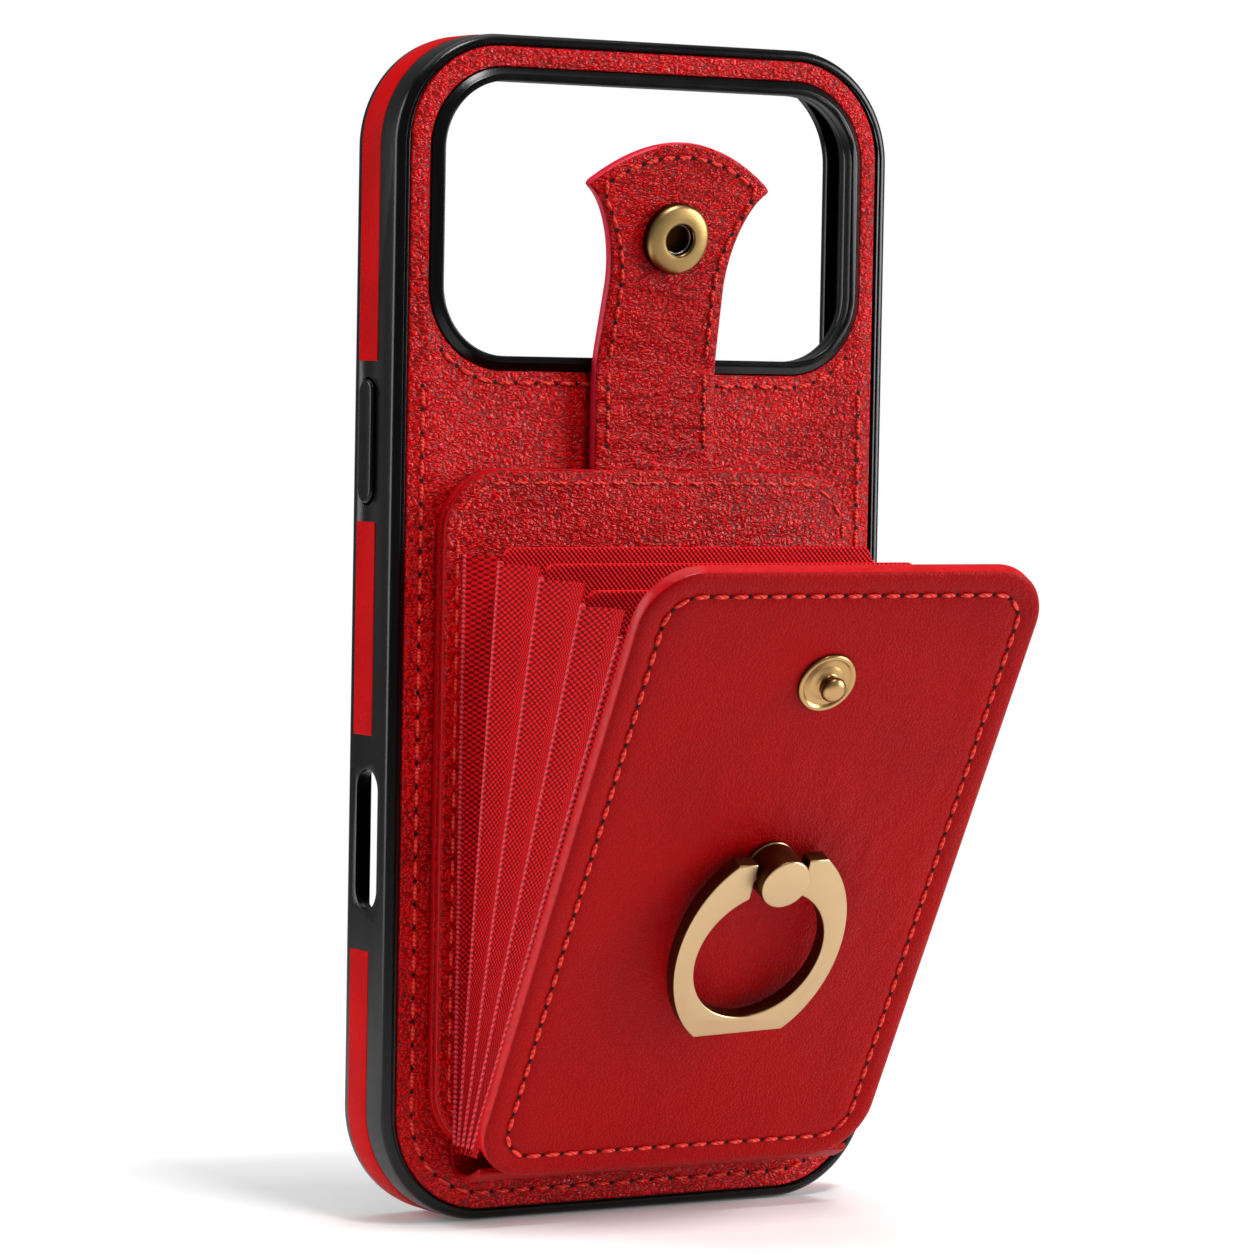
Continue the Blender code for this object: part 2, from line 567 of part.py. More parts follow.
def finger_ring(cover):
    """Built in the ring's own frame: origin on the hub's axis at the cover's face, Z up the cover."""
    swivel = joint_empty("ring_swivel", (0, -COVER_THICK / 2, RING_UP), parent=cover)
    swivel.rotation_euler.y = -RING_TURN
    hub = [
        (0, HUB_HIGH), (HUB_RADIUS - 0.3, HUB_HIGH), (HUB_RADIUS, HUB_HIGH - 0.3), (HUB_RADIUS, 0.5),
        (HUB_RADIUS - 0.3, 0.2), (1.35, 0.2), (1.35, 0.75), (2.3, 0.75), (2.3, 1.65), (0, 1.65),
    ]
    barrel = turned("ring_hub", hub, "antique_brass", swivel, (0, 0, 0), 32)
    bore = cylinder(HUB_BORE, 12 * MM, "X", (0, -PIVOT_OUT, 0))
    boolean(barrel, add_cutter("cut_hub_bore", bore, swivel))

    rivet = [(0, 1.35), (2.0, 1.35), (2.0, 1.05), (1.05, 1.05), (1.05, -1.85), (0, -1.85)]
    turned("hub_rivet", rivet, "antique_brass", cover, swivel.location, 20)

    fold = joint_empty("ring_fold", (0, -PIVOT_OUT, 0), parent=swivel)
    add("ring_pin", cylinder(PIN_RADIUS, PIN_LONG, "X"), "antique_brass", fold)

    def sweep(half_width, half_height, drop, z_start, z_end, count):
        """Points down the right side of an ellipse, evenly by angle."""
        start, end = (math.asin(max(-1, min(1, (z + drop) / half_height))) for z in (z_start, z_end))
        angles = (start + (end - start) * i / count for i in range(count + 1))
        return [(half_width * math.cos(a), half_height * math.sin(a) - drop) for a in angles]

    outer = sweep(RING_HALF_WIDTH, RING_HALF_HEIGHT, RING_DROP, RING_TOP, RING_FOOT, 16)
    inner_top = -RING_INNER_DROP + RING_INNER_HEIGHT * math.sqrt(1 - (ARM_INSIDE / RING_INNER_WIDTH) ** 2)
    inner_foot = -RING_INNER_DROP - RING_INNER_HEIGHT
    inner = sweep(RING_INNER_WIDTH, RING_INNER_HEIGHT, RING_INNER_DROP, inner_top, inner_foot, 16)
    right = [(ARM_INSIDE, RING_TOP), *outer]
    around = right + [(-x, z) for x, z in reversed(right)]
    back = [(-x, z) for x, z in inner[:-1]] + [(x, z) for x, z in reversed(inner)]
    ring = add("finger_ring", plate(around + back, -RING_THICK / 2, RING_THICK / 2), "antique_brass", fold)
    chamfer = ring.modifiers.new("Edges", "BEVEL")
    chamfer.width = RING_CHAMFER
    chamfer.segments = 2
    chamfer.limit_method = "ANGLE"
    chamfer.angle_limit = math.radians(50)
    boolean(ring, add_cutter("cut_ring_bore", cylinder(RING_BORE, PIN_ROOM_LONG, "X"), fold))
    smooth(ring)


def head_outline(inset=0.0, start=FOLD_HALF):
    """(x, z) outline of the strap's end, anticlockwise from the stem's right, heights from the fold. The
    stem narrows to a waist, flares to two pointed tips, and an arched crown joins them."""
    right = []
    steps = 10
    for i in range(steps):
        z = start + (TIP_UP - start) * i / steps
        half = STEM_HALF + (WAIST_HALF - STEM_HALF) * min(1.0, z / WAIST_UP)
        if z > WAIST_UP:
            half += (TIP_HALF - WAIST_HALF) * ((z - WAIST_UP) / (TIP_UP - WAIST_UP)) ** 2
        right.append((half - inset, z))
    rise = CROWN_UP - TIP_UP
    radius = (TIP_HALF**2 + rise**2) / (2 * rise)
    reach = math.degrees(math.asin(TIP_HALF / radius))
    spread = reach * (1 - inset / TIP_HALF)
    crown = arc(0, CROWN_UP - radius, radius - inset, 90 - spread, 90 + spread, 10)
    return right + crown + [(-x, z) for x, z in reversed(right)]


def strap():
    root = joint_empty("strap_root_fold", (0, STRAP_Y, ROOT_FOLD_Z))
    upper = joint_empty("strap_end_fold", (0, 0, BRIDGE_LONG), HEAD_LEAN, root)
    half_gap = STRAP_THICK / 2 - PLY
    plies = {"face": (-STRAP_THICK / 2, -half_gap), "lining": (half_gap, STRAP_THICK / 2)}
    stem = (-STEM_HALF, STEM_HALF)
    for name, y in plies.items():
        add(f"strap_bridge_{name}", slab(stem, (FOLD_HALF, BRIDGE_LONG - FOLD_HALF), y), "red_leather", root)
        ply = add(f"strap_end_{name}", plate(head_outline(), *y), "red_leather", upper)
        hole = cylinder(SNAP_HOLE, 2 * STRAP_THICK, "Y", (0, 0, SOCKET_UP), 20)
        boolean(ply, add_cutter(f"cut_strap_{name}", hole, upper))
    clear = FOLD_HALF - 0.2 * MM
    fold_x, fold_y = (-FOLD_HALF_WIDTH, FOLD_HALF_WIDTH), (-FOLD_THICK / 2, FOLD_THICK / 2)
    add("strap_fold_root", slab(fold_x, (-clear, clear), fold_y), "red_leather", root)
    bend = slab(fold_x, (BRIDGE_LONG - clear, BRIDGE_LONG + clear), fold_y)
    add("strap_fold_upper", bend, "red_leather", root)
    out = STRAP_THICK / 2 + THREAD_OUT
    seam = [(x, -out, z) for x, z in head_outline(STRAP_SEAM, SEAM_START)]
    thread("strap_thread", seam, upper, cyclic=False)

    place = (0, 0, SOCKET_UP)
    socket = [
        (2.15, 2.5), (2.5, 2.75), (4.3, 2.6), (4.9, 2.2), (5.1, 1.6), (5.1, 1.15), (2.15, 1.15),
        (2.15, 1.5), (2.75, 1.5), (2.75, 2.1), (2.15, 2.1),
    ]
    turned("snap_socket", socket, "antique_brass", upper, place, 32, True)
    spring = arc(2.42, 1.8, 0.17, 90, -225, 7)  # the wire's section, inside the socket's groove
    turned("snap_spring", spring, "spring_steel", upper, place, 20, True)
    cap = [
        (0, 0.35), (1.5, 0.35), (1.5, -1.15), (5.6, -1.15), (5.6, -1.5), (4.9, -2.1), (3.2, -2.5), (0, -2.6),
    ]
    turned("snap_cap", cap, "antique_brass", upper, place)


clear_scene()
PARTS = collection("Phone wallet case")
CUTTERS = collection("Cutters", hidden=True)
CASE = case_empty()
shell()
leather_back()
side_inlays()
key_covers()
wallet_back()
cover_hinge = front_cover()
dividers_and_gussets(cover_hinge)
finger_ring(cover_hinge)
strap()
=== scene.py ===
"""Phone wallet case: the finished look of every piece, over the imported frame."""
import math

import bmesh
import bpy
from mathutils import Matrix, Vector


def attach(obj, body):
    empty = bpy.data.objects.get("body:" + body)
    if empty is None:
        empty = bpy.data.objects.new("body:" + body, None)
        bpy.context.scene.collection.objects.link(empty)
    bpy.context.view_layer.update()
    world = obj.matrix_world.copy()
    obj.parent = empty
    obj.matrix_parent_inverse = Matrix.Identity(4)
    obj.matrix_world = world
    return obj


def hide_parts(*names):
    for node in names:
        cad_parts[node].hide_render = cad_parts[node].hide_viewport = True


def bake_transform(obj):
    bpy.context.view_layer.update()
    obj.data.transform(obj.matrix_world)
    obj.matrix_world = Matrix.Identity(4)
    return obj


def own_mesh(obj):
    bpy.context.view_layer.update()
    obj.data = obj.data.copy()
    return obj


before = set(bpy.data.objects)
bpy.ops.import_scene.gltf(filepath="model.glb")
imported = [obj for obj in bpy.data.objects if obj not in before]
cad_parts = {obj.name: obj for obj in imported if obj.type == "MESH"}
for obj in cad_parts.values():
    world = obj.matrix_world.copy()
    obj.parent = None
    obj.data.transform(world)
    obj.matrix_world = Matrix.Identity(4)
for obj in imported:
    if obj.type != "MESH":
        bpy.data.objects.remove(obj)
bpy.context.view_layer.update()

MM = 0.001  # the numbers below are millimetres


# ---- frames of the leaves ----

def leaf(y, z, degrees):
    """The frame of a leaf hinged at (y, z) that leans forward."""
    return Matrix.Translation((0, y, z)) @ Matrix.Rotation(math.radians(degrees), 4, "X")


# (y, z) of each hinge and the leaf's lean: the wallet panel, the four dividers and the cover
LEAVES = [
    (-5.55, 10.5, 0.0),
    *((-6.28 - 1.184 * i, 10.5, lean) for i, lean in enumerate((6.2, 13.3, 20.5, 27.1))),
    (-12.02, 9.38, 28.15),
]
STRAP_Y, UPPER_FOLD_Z, HEAD_LEAN = -4.25, 120.85, 13

CASE = Matrix.Identity(4)
DIVIDERS = [leaf(*hinge) for hinge in LEAVES[1:5]]
COVER = leaf(*LEAVES[5])
HEAD = leaf(STRAP_Y, UPPER_FOLD_Z, HEAD_LEAN)
SNAP = HEAD @ Matrix.Translation((0, 0, 18.76))
STUD = COVER @ Matrix.Translation((0, 0, 79.4))
RING = COVER @ Matrix.Translation((0, -1.4, 50.2)) @ Matrix.Rotation(math.radians(-2.5), 4, "Y")
PIVOT = RING @ Matrix.Translation((0, -2.9, 0))


# ---- shader maths ----

class Wire:
    """A value in a material's nodes, which takes part in arithmetic."""

    def __init__(self, tree, socket):
        self.tree = tree
        self.socket = socket

    def node(self, kind, values=None, out=0, **settings):
        """Adds a node: its settings first, then the numbers, colours or wires of its sockets."""
        made = self.tree.nodes.new(kind)
        for key, value in settings.items():
            setattr(made, key, value)
        for key, value in (values or {}).items():
            if isinstance(value, Wire):
                self.tree.links.new(value.socket, made.inputs[key])
            else:
                made.inputs[key].default_value = value
        return Wire(self.tree, made.outputs[out])

    def math(self, operation, first, second=0.0):
        return self.node("ShaderNodeMath", {0: first, 1: second}, operation=operation)

    def __add__(self, other):
        return self.math("ADD", self, other)

    __radd__ = __add__

    def __sub__(self, other):
        return self.math("SUBTRACT", self, other)

    def __rsub__(self, other):
        return self.math("SUBTRACT", other, self)

    def __mul__(self, other):
        return self.math("MULTIPLY", self, other)

    __rmul__ = __mul__

    def __abs__(self):
        return self.math("ABSOLUTE", self)

    def sine(self):
        return self.math("SINE", self)

    def between(self, low, high, start=0.0, end=1.0):
        """Goes smoothly from start to end as the value goes from low to high."""
        spread = {0: self, 1: low, 2: high, 3: start, 4: end}
        return self.node("ShaderNodeMapRange", spread, interpolation_type="SMOOTHSTEP")

    def mix(self, low, high):
        """Colour low where the value is 0, high where it is 1."""
        return self.node("ShaderNodeMix", {0: self, 6: low, 7: high}, 2, data_type="RGBA")

    def vector(self, operation, *others, out=0):
        sockets = dict(enumerate((self, *others)))
        return self.node("ShaderNodeVectorMath", sockets, out, operation=operation)

    def turned_and_stretched(self, turn, stretch):
        return self.node("ShaderNodeMapping", {0: self, 2: turn, 3: stretch})

    def noise(self, scale, detail=2.0, stretch=(1, 1, 1), turn=(0, 0, 0)):
        place = self.turned_and_stretched(turn, stretch)
        return self.node("ShaderNodeTexNoise", {0: place, 2: scale, 3: detail})

    def cells(self, scale):
        """Distance inside irregular cells."""
        return self.node("ShaderNodeTexVoronoi", {0: self, 2: scale})

    def part(self, index):
        return self.node("ShaderNodeSeparateXYZ", {0: self}, index)


class Finish:
    """A material: place is the spot on the piece in millimetres, facing its normal."""

    def __init__(self, name, roughness=0.5, metallic=0.0, gloss=0.5):
        self.material = bpy.data.materials.new(name)
        self.material.use_nodes = True
        tree = self.material.node_tree
        self.shader = tree.nodes["Principled BSDF"]
        self.tree = tree
        self.set("Roughness", roughness)
        self.set("Metallic", metallic)
        self.set("Specular IOR Level", gloss)
        spot = tree.nodes.new("ShaderNodeTexCoord")
        metres = Wire(tree, spot.outputs["Object"])
        self.place = metres.turned_and_stretched((0, 0, 0), (1 / MM, 1 / MM, 1 / MM))
        self.facing = Wire(tree, spot.outputs["Normal"])
        self.cloth = Wire(tree, spot.outputs["UV"])

    def set(self, socket, value):
        if isinstance(value, Wire):
            self.tree.links.new(value.socket, self.shader.inputs[socket])
        else:
            self.shader.inputs[socket].default_value = value

    def relief(self, height, depth):
        """Bumps the surface by height (0 to 1) times depth in millimetres."""
        self.set("Normal", height.node("ShaderNodeBump", {"Height": height, "Distance": depth * MM}))


def shade(r, g, b):
    """A linear colour from 0 to 255 display values."""
    return (*((v / 255) ** 2.2 for v in (r, g, b)), 1.0)


# ---- finishes ----

# The darkest red and LIT_RED are the painted shade in the pebbled leather's valleys and the painted light on
# its grains.
SHADED_RED = shade(112, 1, 4)
RED = shade(158, 5, 12)
LIT_RED = shade(204, 5, 14)
BRIGHT_RED = shade(190, 6, 14)


def grained_leather(name, cell, depth, creases, slant):
    """Pebbled leather: long grains that slant, painted shade in the valleys between them and painted light on
    their tops, and soft creases.
    """
    finish = Finish(name, gloss=0.16)
    place = finish.place.turned_and_stretched((0, math.radians(slant), 0), (0.55, 1, 1))
    wander = place.noise(0.9, 3)
    bent = place.vector("ADD", wander.node("ShaderNodeCombineXYZ", {0: wander, 1: wander, 2: wander * 2.0}))
    pebbles = bent.cells(1 / cell).between(0.15, 0.75, 1.0, 0.0)
    pores = bent.cells(2.6 / cell).between(0.1, 0.6, 1.0, 0.0)
    patches = place.noise(0.08, 3)
    folds = place.noise(0.3, 3, (0.5, 1, 1.2)).between(0.38, 0.62)
    # Painted light on the grains' tops and painted shade in the valleys between them, over patches of tone.
    finish.set("Base Color", (pebbles * 0.65 + patches * 0.5).between(0.1, 0.9).mix(SHADED_RED, LIT_RED))
    finish.set("Roughness", 0.18 - pebbles * 0.04 + patches * 0.06)
    finish.relief(pebbles * 0.75 + pores * 0.15 + folds * creases, depth)
    return finish.material


def cover_leather(name):
    """Finer, smoother leather, with painted shade in its grain's valleys, and wrinkles round the ring's hub
    and at its right edge.
    """
    finish = Finish(name, gloss=0.08)
    place = finish.place
    below_hub = tuple(COVER @ Vector((0, -1.4, 47)))
    near_hub = place.vector("DISTANCE", below_hub, out=1).between(8, 30, 1.0, 0.0)
    right_edge = place.part(0).between(20, 31)
    grain = place.cells(2.6).between(0.1, 0.7, 1.0, 0.0)
    fine = place.noise(4.5, 3)
    wrinkles = place.noise(0.22, 3, (1, 1, 0.45), (0, math.radians(25), 0))
    small = place.noise(0.55, 4, (0.35, 1, 1), (0, math.radians(-15), 0))
    waves = (wrinkles * 5.0) * (near_hub * 0.8 + right_edge * 0.6 + 0.3) + small * near_hub * 2.2
    patches = place.noise(0.05, 3)
    # Painted shade in the fine grain's valleys, over patches of tone.
    finish.set("Base Color", (grain * 0.4 + patches * 0.7).between(0.1, 0.9).mix(shade(138, 6, 11), RED))
    finish.set("Roughness", 0.40 + patches * 0.12 - grain * 0.04)
    finish.relief(grain * 0.35 + fine * 0.2 + waves, 0.12)
    return finish.material


def inlay_leather(name):
    finish = Finish(name, gloss=0.03)
    grain = finish.place.noise(3.2, 4)
    broad = finish.place.noise(0.12, 2)
    finish.set("Base Color", (grain * 0.5 + broad * 0.5).between(0.3, 0.7).mix(shade(164, 3, 10), BRIGHT_RED))
    finish.set("Roughness", 0.38 + grain * 0.12)
    finish.relief(grain, 0.08)
    return finish.material


def edge_paint(name, colour):
    """Thick glossy paint on a cut edge, a little uneven."""
    finish = Finish(name, gloss=0.18)
    uneven = finish.place.noise(0.9, 3)
    finish.set("Base Color", uneven.between(0.3, 0.7).mix(colour, tuple(min(1.0, 1.25 * c) for c in colour)))
    finish.set("Roughness", 0.26 + uneven * 0.16)
    finish.relief(uneven, 0.10)
    return finish.material


def woven_fabric(name, across_pitch, along_pitch):
    """Dots of a plain weave, set corner to corner, with painted light on each dot and painted shade in the
    gaps between them; the cloth's own map is in millimetres.
    """
    finish = Finish(name, roughness=0.6, gloss=0.12)
    across = finish.cloth.part(0) * (math.tau / across_pitch)
    along = finish.cloth.part(1) * (math.tau / along_pitch)
    dots = (across.sine() * along.sine() * 0.5 + 0.5).between(0.1, 0.9)
    fuzz = finish.place.noise(6.0, 3)
    broad = finish.place.noise(0.15, 3)
    # Painted light on the dots and painted shade in the gaps, over fuzz and broad tone.
    tone = (dots * 0.75 + fuzz * 0.35 + broad * 0.2).between(0.15, 1.0)
    finish.set("Base Color", tone.mix(shade(104, 0, 2), shade(250, 12, 30)))
    finish.relief(dots + fuzz * 0.3, 0.32)
    return finish.material


def twisted_cord(name, colour, dark, pitch):
    """Yarn twisted together: slanting ticks across a cord, one every pitch."""
    finish = Finish(name, roughness=0.5, gloss=0.35)
    x, y, z = (finish.place.part(i) for i in range(3))
    strands = ((z + (x + y) * 0.55) * (math.tau / pitch)).sine() * 0.5 + 0.5
    fibres = finish.place.noise(7.0, 2, (1, 1, 0.4))
    finish.set("Base Color", (strands * 0.8 + fibres * 0.3).between(0.1, 0.9).mix(dark, colour))
    finish.relief(strands + fibres * 0.3, 0.12)
    return finish.material


def moulded_plastic(name):
    """Semi-gloss black, with a faint satin texture and handling marks."""
    finish = Finish(name, gloss=0.25)
    satin = finish.place.noise(9.0, 2)
    marks = finish.place.noise(0.25, 4, (1, 1, 0.2))
    finish.set("Base Color", marks.between(0.3, 0.75).mix(shade(7, 7, 8), shade(16, 16, 17)))
    finish.set("Roughness", 0.13 + marks * 0.12)
    finish.relief(satin, 0.012)
    return finish.material


# The dark colour is the painted shade on the sides and in the hole; tone is the colour of the painted light
# on the face.
def antique_brass(name, at, shade_radius=0.0, tone=(196, 168, 128), dark=(84, 52, 30)):
    """Brass: painted light on the face that looks out, painted shade on the sides, a painted highlight on the
    smoother bevels, and painted shade in the hole near its axis.
    """
    finish = Finish(name, metallic=1.0)
    outward = tuple(at.to_3x3() @ Vector((0, -1, 0)))
    faces = abs(finish.facing.vector("DOT_PRODUCT", outward, out=1))
    # Painted light on the face that looks out and painted shade on the sides; a painted highlight on the
    # bevels between them.
    lit_face = faces.between(0.55, 0.9)
    bevel_highlight = faces.between(0.25, 0.6) * faces.between(0.75, 0.97, 1.0, 0.0)
    tarnish = finish.place.noise(0.35, 4)
    brushed = finish.place.noise(1.3, 2, (0.35, 1, 6))
    # Painted shade inside the hole near the axis.
    if shade_radius:
        arm = finish.place.vector("SUBTRACT", tuple(at.translation)).vector("CROSS_PRODUCT", outward)
        lit_face = lit_face * arm.vector("LENGTH", out=1).between(shade_radius, shade_radius + 0.35)
    light_and_tarnish = lit_face * (0.78 + tarnish * 0.3) + bevel_highlight * 0.45
    finish.set("Base Color", light_and_tarnish.between(0.0, 1.0).mix(shade(*dark), shade(*tone)))
    finish.set("Roughness", 0.30 + tarnish * 0.16 + brushed * 0.08 - bevel_highlight * 0.12)
    finish.relief(brushed * 0.6 + tarnish * 0.8, 0.03)
    return finish.material


def plain_metal(name, colour, roughness):
    finish = Finish(name, metallic=1.0)
    wear = finish.place.noise(0.8, 3)
    finish.set("Base Color", wear.between(0.3, 0.7).mix(colour, tuple(0.7 * c for c in colour)))
    finish.set("Roughness", roughness + wear * 0.15)
    return finish.material


def soft_lining(name, low, high):
    """Napped or frayed fibre, with painted shade in its depths."""
    finish = Finish(name, roughness=0.85, gloss=0.2)
    nap = finish.place.noise(5.0, 4)
    # Painted shade where the nap is low.
    finish.set("Base Color", nap.between(0.3, 0.7).mix(low, high))
    finish.relief(nap, 0.06)
    return finish.material


LEATHER = grained_leather("red_leather_pebbled", 0.36, 0.14, 0.9, 28)
STRAP_LEATHER = grained_leather("red_leather_strap", 0.36, 0.14, 1.4, -14)
SMOOTH_LEATHER = cover_leather("red_leather_cover")
INLAY = inlay_leather("red_leather_inlay")
COVER_EDGE = edge_paint("edge_paint_cover", shade(176, 10, 20))
STRAP_EDGE = edge_paint("edge_paint_strap", shade(214, 40, 66))
FABRIC = woven_fabric("red_woven_fabric", 0.75, 0.75)
GUSSET_FABRIC = woven_fabric("red_gusset_fabric", 1.3, 0.8)
ROPE = twisted_cord("red_twisted_ridge", shade(240, 54, 72), shade(150, 6, 18), 0.7)
THREAD = twisted_cord("red_sewing_thread", shade(240, 62, 44), shade(190, 18, 14), 0.6)
# Flat dark discs of painted shade at the needle holes.
NEEDLE_HOLE_SHADE = soft_lining("needle_hole_shade", shade(20, 2, 3), shade(38, 4, 5))
PLASTIC = moulded_plastic("black_plastic_satin")
LINING = soft_lining("red_cover_lining", shade(120, 8, 16), shade(160, 18, 28))
STEEL = plain_metal("spring_steel_wire", shade(150, 146, 140), 0.3)
SNAP_TONE = (182, 146, 98)
RING_BRASS = antique_brass("antique_brass_ring", COVER)
# 2.3 is the radius of the painted shade in the socket's hole.
SOCKET_BRASS = antique_brass("antique_brass_socket", SNAP, 2.3, (172, 142, 92), (60, 36, 18))
CAP_BRASS = antique_brass("antique_brass_cap", SNAP, tone=SNAP_TONE)
STUD_BRASS = antique_brass("antique_brass_stud", STUD, tone=SNAP_TONE)


# ---- shapes ----

def block(x, y, z, corner=0.0, segments=24):
    """A plate from low to high in x, y and z, its corners round about Y."""
    spans = [high - low for low, high in (x, y, z)]
    middle = [(high + low) / 2 for low, high in (x, y, z)]
    bm = bmesh.new()
    bmesh.ops.create_cube(bm, size=1, matrix=Matrix.Translation(middle) @ Matrix.Diagonal((*spans, 1)))
    if corner:
        upright = [e for e in bm.edges if abs(e.verts[0].co.y - e.verts[1].co.y) > spans[1] / 2]
        bmesh.ops.bevel(bm, geom=upright, offset=corner, segments=segments, profile=0.5,
                        affect="EDGES", material=-1)
    return bm


def stepped(bm, towards, steps):
    """Works the flat face that looks along Y, or against it, in (inset, rise) steps."""
    bm.normal_update()
    face = max((f for f in bm.faces if f.normal.y * towards > 0.9), key=lambda f: f.calc_area())
    for inset, rise in steps:
        bmesh.ops.inset_individual(bm, faces=[face], thickness=inset, depth=rise, use_even_offset=True)


def plate(x, y, z, corner, near=(), far=(), segments=24):
    """A block whose near (-Y) and far faces are worked in steps, and end at y."""
    low = y[0] + sum(rise for _, rise in near)
    high = y[1] - sum(rise for _, rise in far)
    bm = block(x, (low, high), z, corner, segments)
    stepped(bm, -1, near)
    stepped(bm, 1, far)
    return bm


def rounding(radius, count=5):
    """The steps of a quarter-round edge."""
    turns = [math.pi / 2 * i / count for i in range(count + 1)]
    return [(radius * (math.cos(a) - math.cos(b)), radius * (math.sin(b) - math.sin(a)))
            for a, b in zip(turns, turns[1:])]


def on_wall(side, reach, y, z, corner, outer=(), inner=()):
    """A plate in a side wall, from reach[0] to reach[1] out from the middle; side is -1 on the left."""
    if side > 0:
        y = (-y[1], -y[0])
    bm = plate(y, reach, z, corner, inner, outer, 14)
    bm.transform(Matrix.Rotation(math.radians(-90 * side), 4, "Z"))
    return bm


def in_floor(x, y, corner):
    """A rounded hole through the bottom wall."""
    bm = block(x, (-1, 4), (-y[1], -y[0]), corner, 14)
    bm.transform(Matrix.Rotation(math.radians(90), 4, "X"))
    return bm


def joined(*shapes):
    """Several shapes as one."""
    first, *rest = shapes
    for shape in rest:
        mesh = bpy.data.meshes.new("loose")
        shape.to_mesh(mesh)
        shape.free()
        first.from_mesh(mesh)
        bpy.data.meshes.remove(mesh)
    return first


def oval(half_x, half_z, z, thick):
    """An upright oval disc."""
    bm = bmesh.new()
    size = Matrix.Diagonal((half_x, half_z, thick, 1))
    turn = Matrix.Translation((0, 0, z)) @ Matrix.Rotation(math.radians(90), 4, "X")
    bmesh.ops.create_cone(bm, cap_ends=True, segments=128, radius1=1, radius2=1, depth=1, matrix=turn @ size)
    return bm


def turned(profile, closed=False, steps=72):
    """A profile of (radius, height towards -Y) spun about Y."""
    bm = bmesh.new()
    spots = [bm.verts.new((radius, -height, 0)) for radius, height in profile]
    pairs = list(zip(spots, spots[1:]))
    if closed:
        pairs.append((spots[-1], spots[0]))
    edges = [bm.edges.new(pair) for pair in pairs]
    bmesh.ops.spin(bm, geom=spots + edges, axis=(0, 1, 0), cent=(0, 0, 0), angle=math.tau,
                   steps=steps, use_merge=True)
    bmesh.ops.remove_doubles(bm, verts=bm.verts, dist=0.001)
    bmesh.ops.recalc_face_normals(bm, faces=bm.faces)
    return bm


def tube(around, along, place):
    """A closed tube of unit rings, each point then put where place(index around, index along) says."""
    bm = bmesh.new()
    bmesh.ops.create_circle(bm, cap_ends=False, segments=around, radius=1)
    ring = list(bm.edges)
    ends = [ring]
    for _ in range(along - 1):
        new = bmesh.ops.extrude_edge_only(bm, edges=ring)["geom"]
        ring = [g for g in new if isinstance(g, bmesh.types.BMEdge)
                and abs(g.verts[0].co.z - g.verts[1].co.z) < 0.1 and len(g.link_faces) == 1]
        bmesh.ops.translate(bm, vec=(0, 0, 1), verts=list({v for e in ring for v in e.verts}))
    ends.append(ring)
    for edges in ends:
        bmesh.ops.contextual_create(bm, geom=edges)
    for v in bm.verts:
        turn = math.atan2(v.co.y, v.co.x) / math.tau * around
        v.co = place(round(turn) % around, round(v.co.z))
    bmesh.ops.recalc_face_normals(bm, faces=bm.faces)
    return bm


def cloth(across, along, place, size):
    """A sheet whose point (u, v), each 0 to 1, goes where place says; its map is in millimetres."""
    bm = bmesh.new()
    layer = bm.loops.layers.uv.new("UVMap")
    bmesh.ops.create_grid(bm, x_segments=across, y_segments=along, size=0.5)
    for face in bm.faces:
        for loop in face.loops:
            loop[layer].uv = ((loop.vert.co.x + 0.5) * size[0], (loop.vert.co.y + 0.5) * size[1])
    for v in bm.verts:
        v.co = place(v.co.x + 0.5, v.co.y + 0.5)
    return bm


def laid(name, bm, at, finishes=()):
    """An object at the origin with the shape's place in its mesh."""
    bm.transform(Matrix.Scale(MM, 4) @ at)
    mesh = bpy.data.meshes.new(name)
    bm.to_mesh(mesh)
    bm.free()
    for finish in finishes:
        mesh.materials.append(finish)
    obj = bpy.data.objects.new(name, mesh)
    bpy.context.scene.collection.objects.link(obj)
    return obj


def piece(name, bm, finishes, body="root", at=CASE, cuts=(), keep=None, edge=None, nodes=(), angle=35,
          thick=0.0):
    """Finishes a shape: cuts, rounded edges, shading, the body it rides on and the nodes it stands for."""
    obj = laid(name, bm, at, finishes if isinstance(finishes, tuple) else (finishes,))
    tools = [(laid("tool", shape, at), "DIFFERENCE") for shape in cuts]
    if keep:
        tools.append((laid("tool", keep, at), "INTERSECT"))
    for tool, operation in tools:
        cut = obj.modifiers.new("Cut", "BOOLEAN")
        cut.object = tool
        cut.operation = operation
        cut.solver = "EXACT"
    if thick:
        wall = obj.modifiers.new("Thickness", "SOLIDIFY")
        wall.thickness = thick * MM
        wall.offset = 0
    if edge:
        rounded = obj.modifiers.new("Edges", "BEVEL")
        rounded.width = edge[0] * MM
        rounded.segments = edge[1]
        rounded.limit_method = "ANGLE"
        rounded.angle_limit = math.radians(edge[2])
    if obj.modifiers:
        final = bpy.data.meshes.new_from_object(obj.evaluated_get(bpy.context.evaluated_depsgraph_get()))
        obj.modifiers.clear()
        obj.data = final
        final.name = name
    for tool, _ in tools:
        bpy.data.objects.remove(tool)
    obj.data.shade_smooth()
    obj.data.set_sharp_from_angle(angle=math.radians(angle))
    if body:
        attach(obj, body)
    if nodes:
        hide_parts(*nodes)
    return obj


def painted_sides(bm, facing=(0, 1, 0), limit=0.55):
    """Gives the faces round the edge of a plate that faces that way its second finish."""
    bm.normal_update()
    for face in bm.faces:
        face.material_index = int(abs(face.normal.dot(facing)) < limit)
    return bm


# ---- moulded frame ----

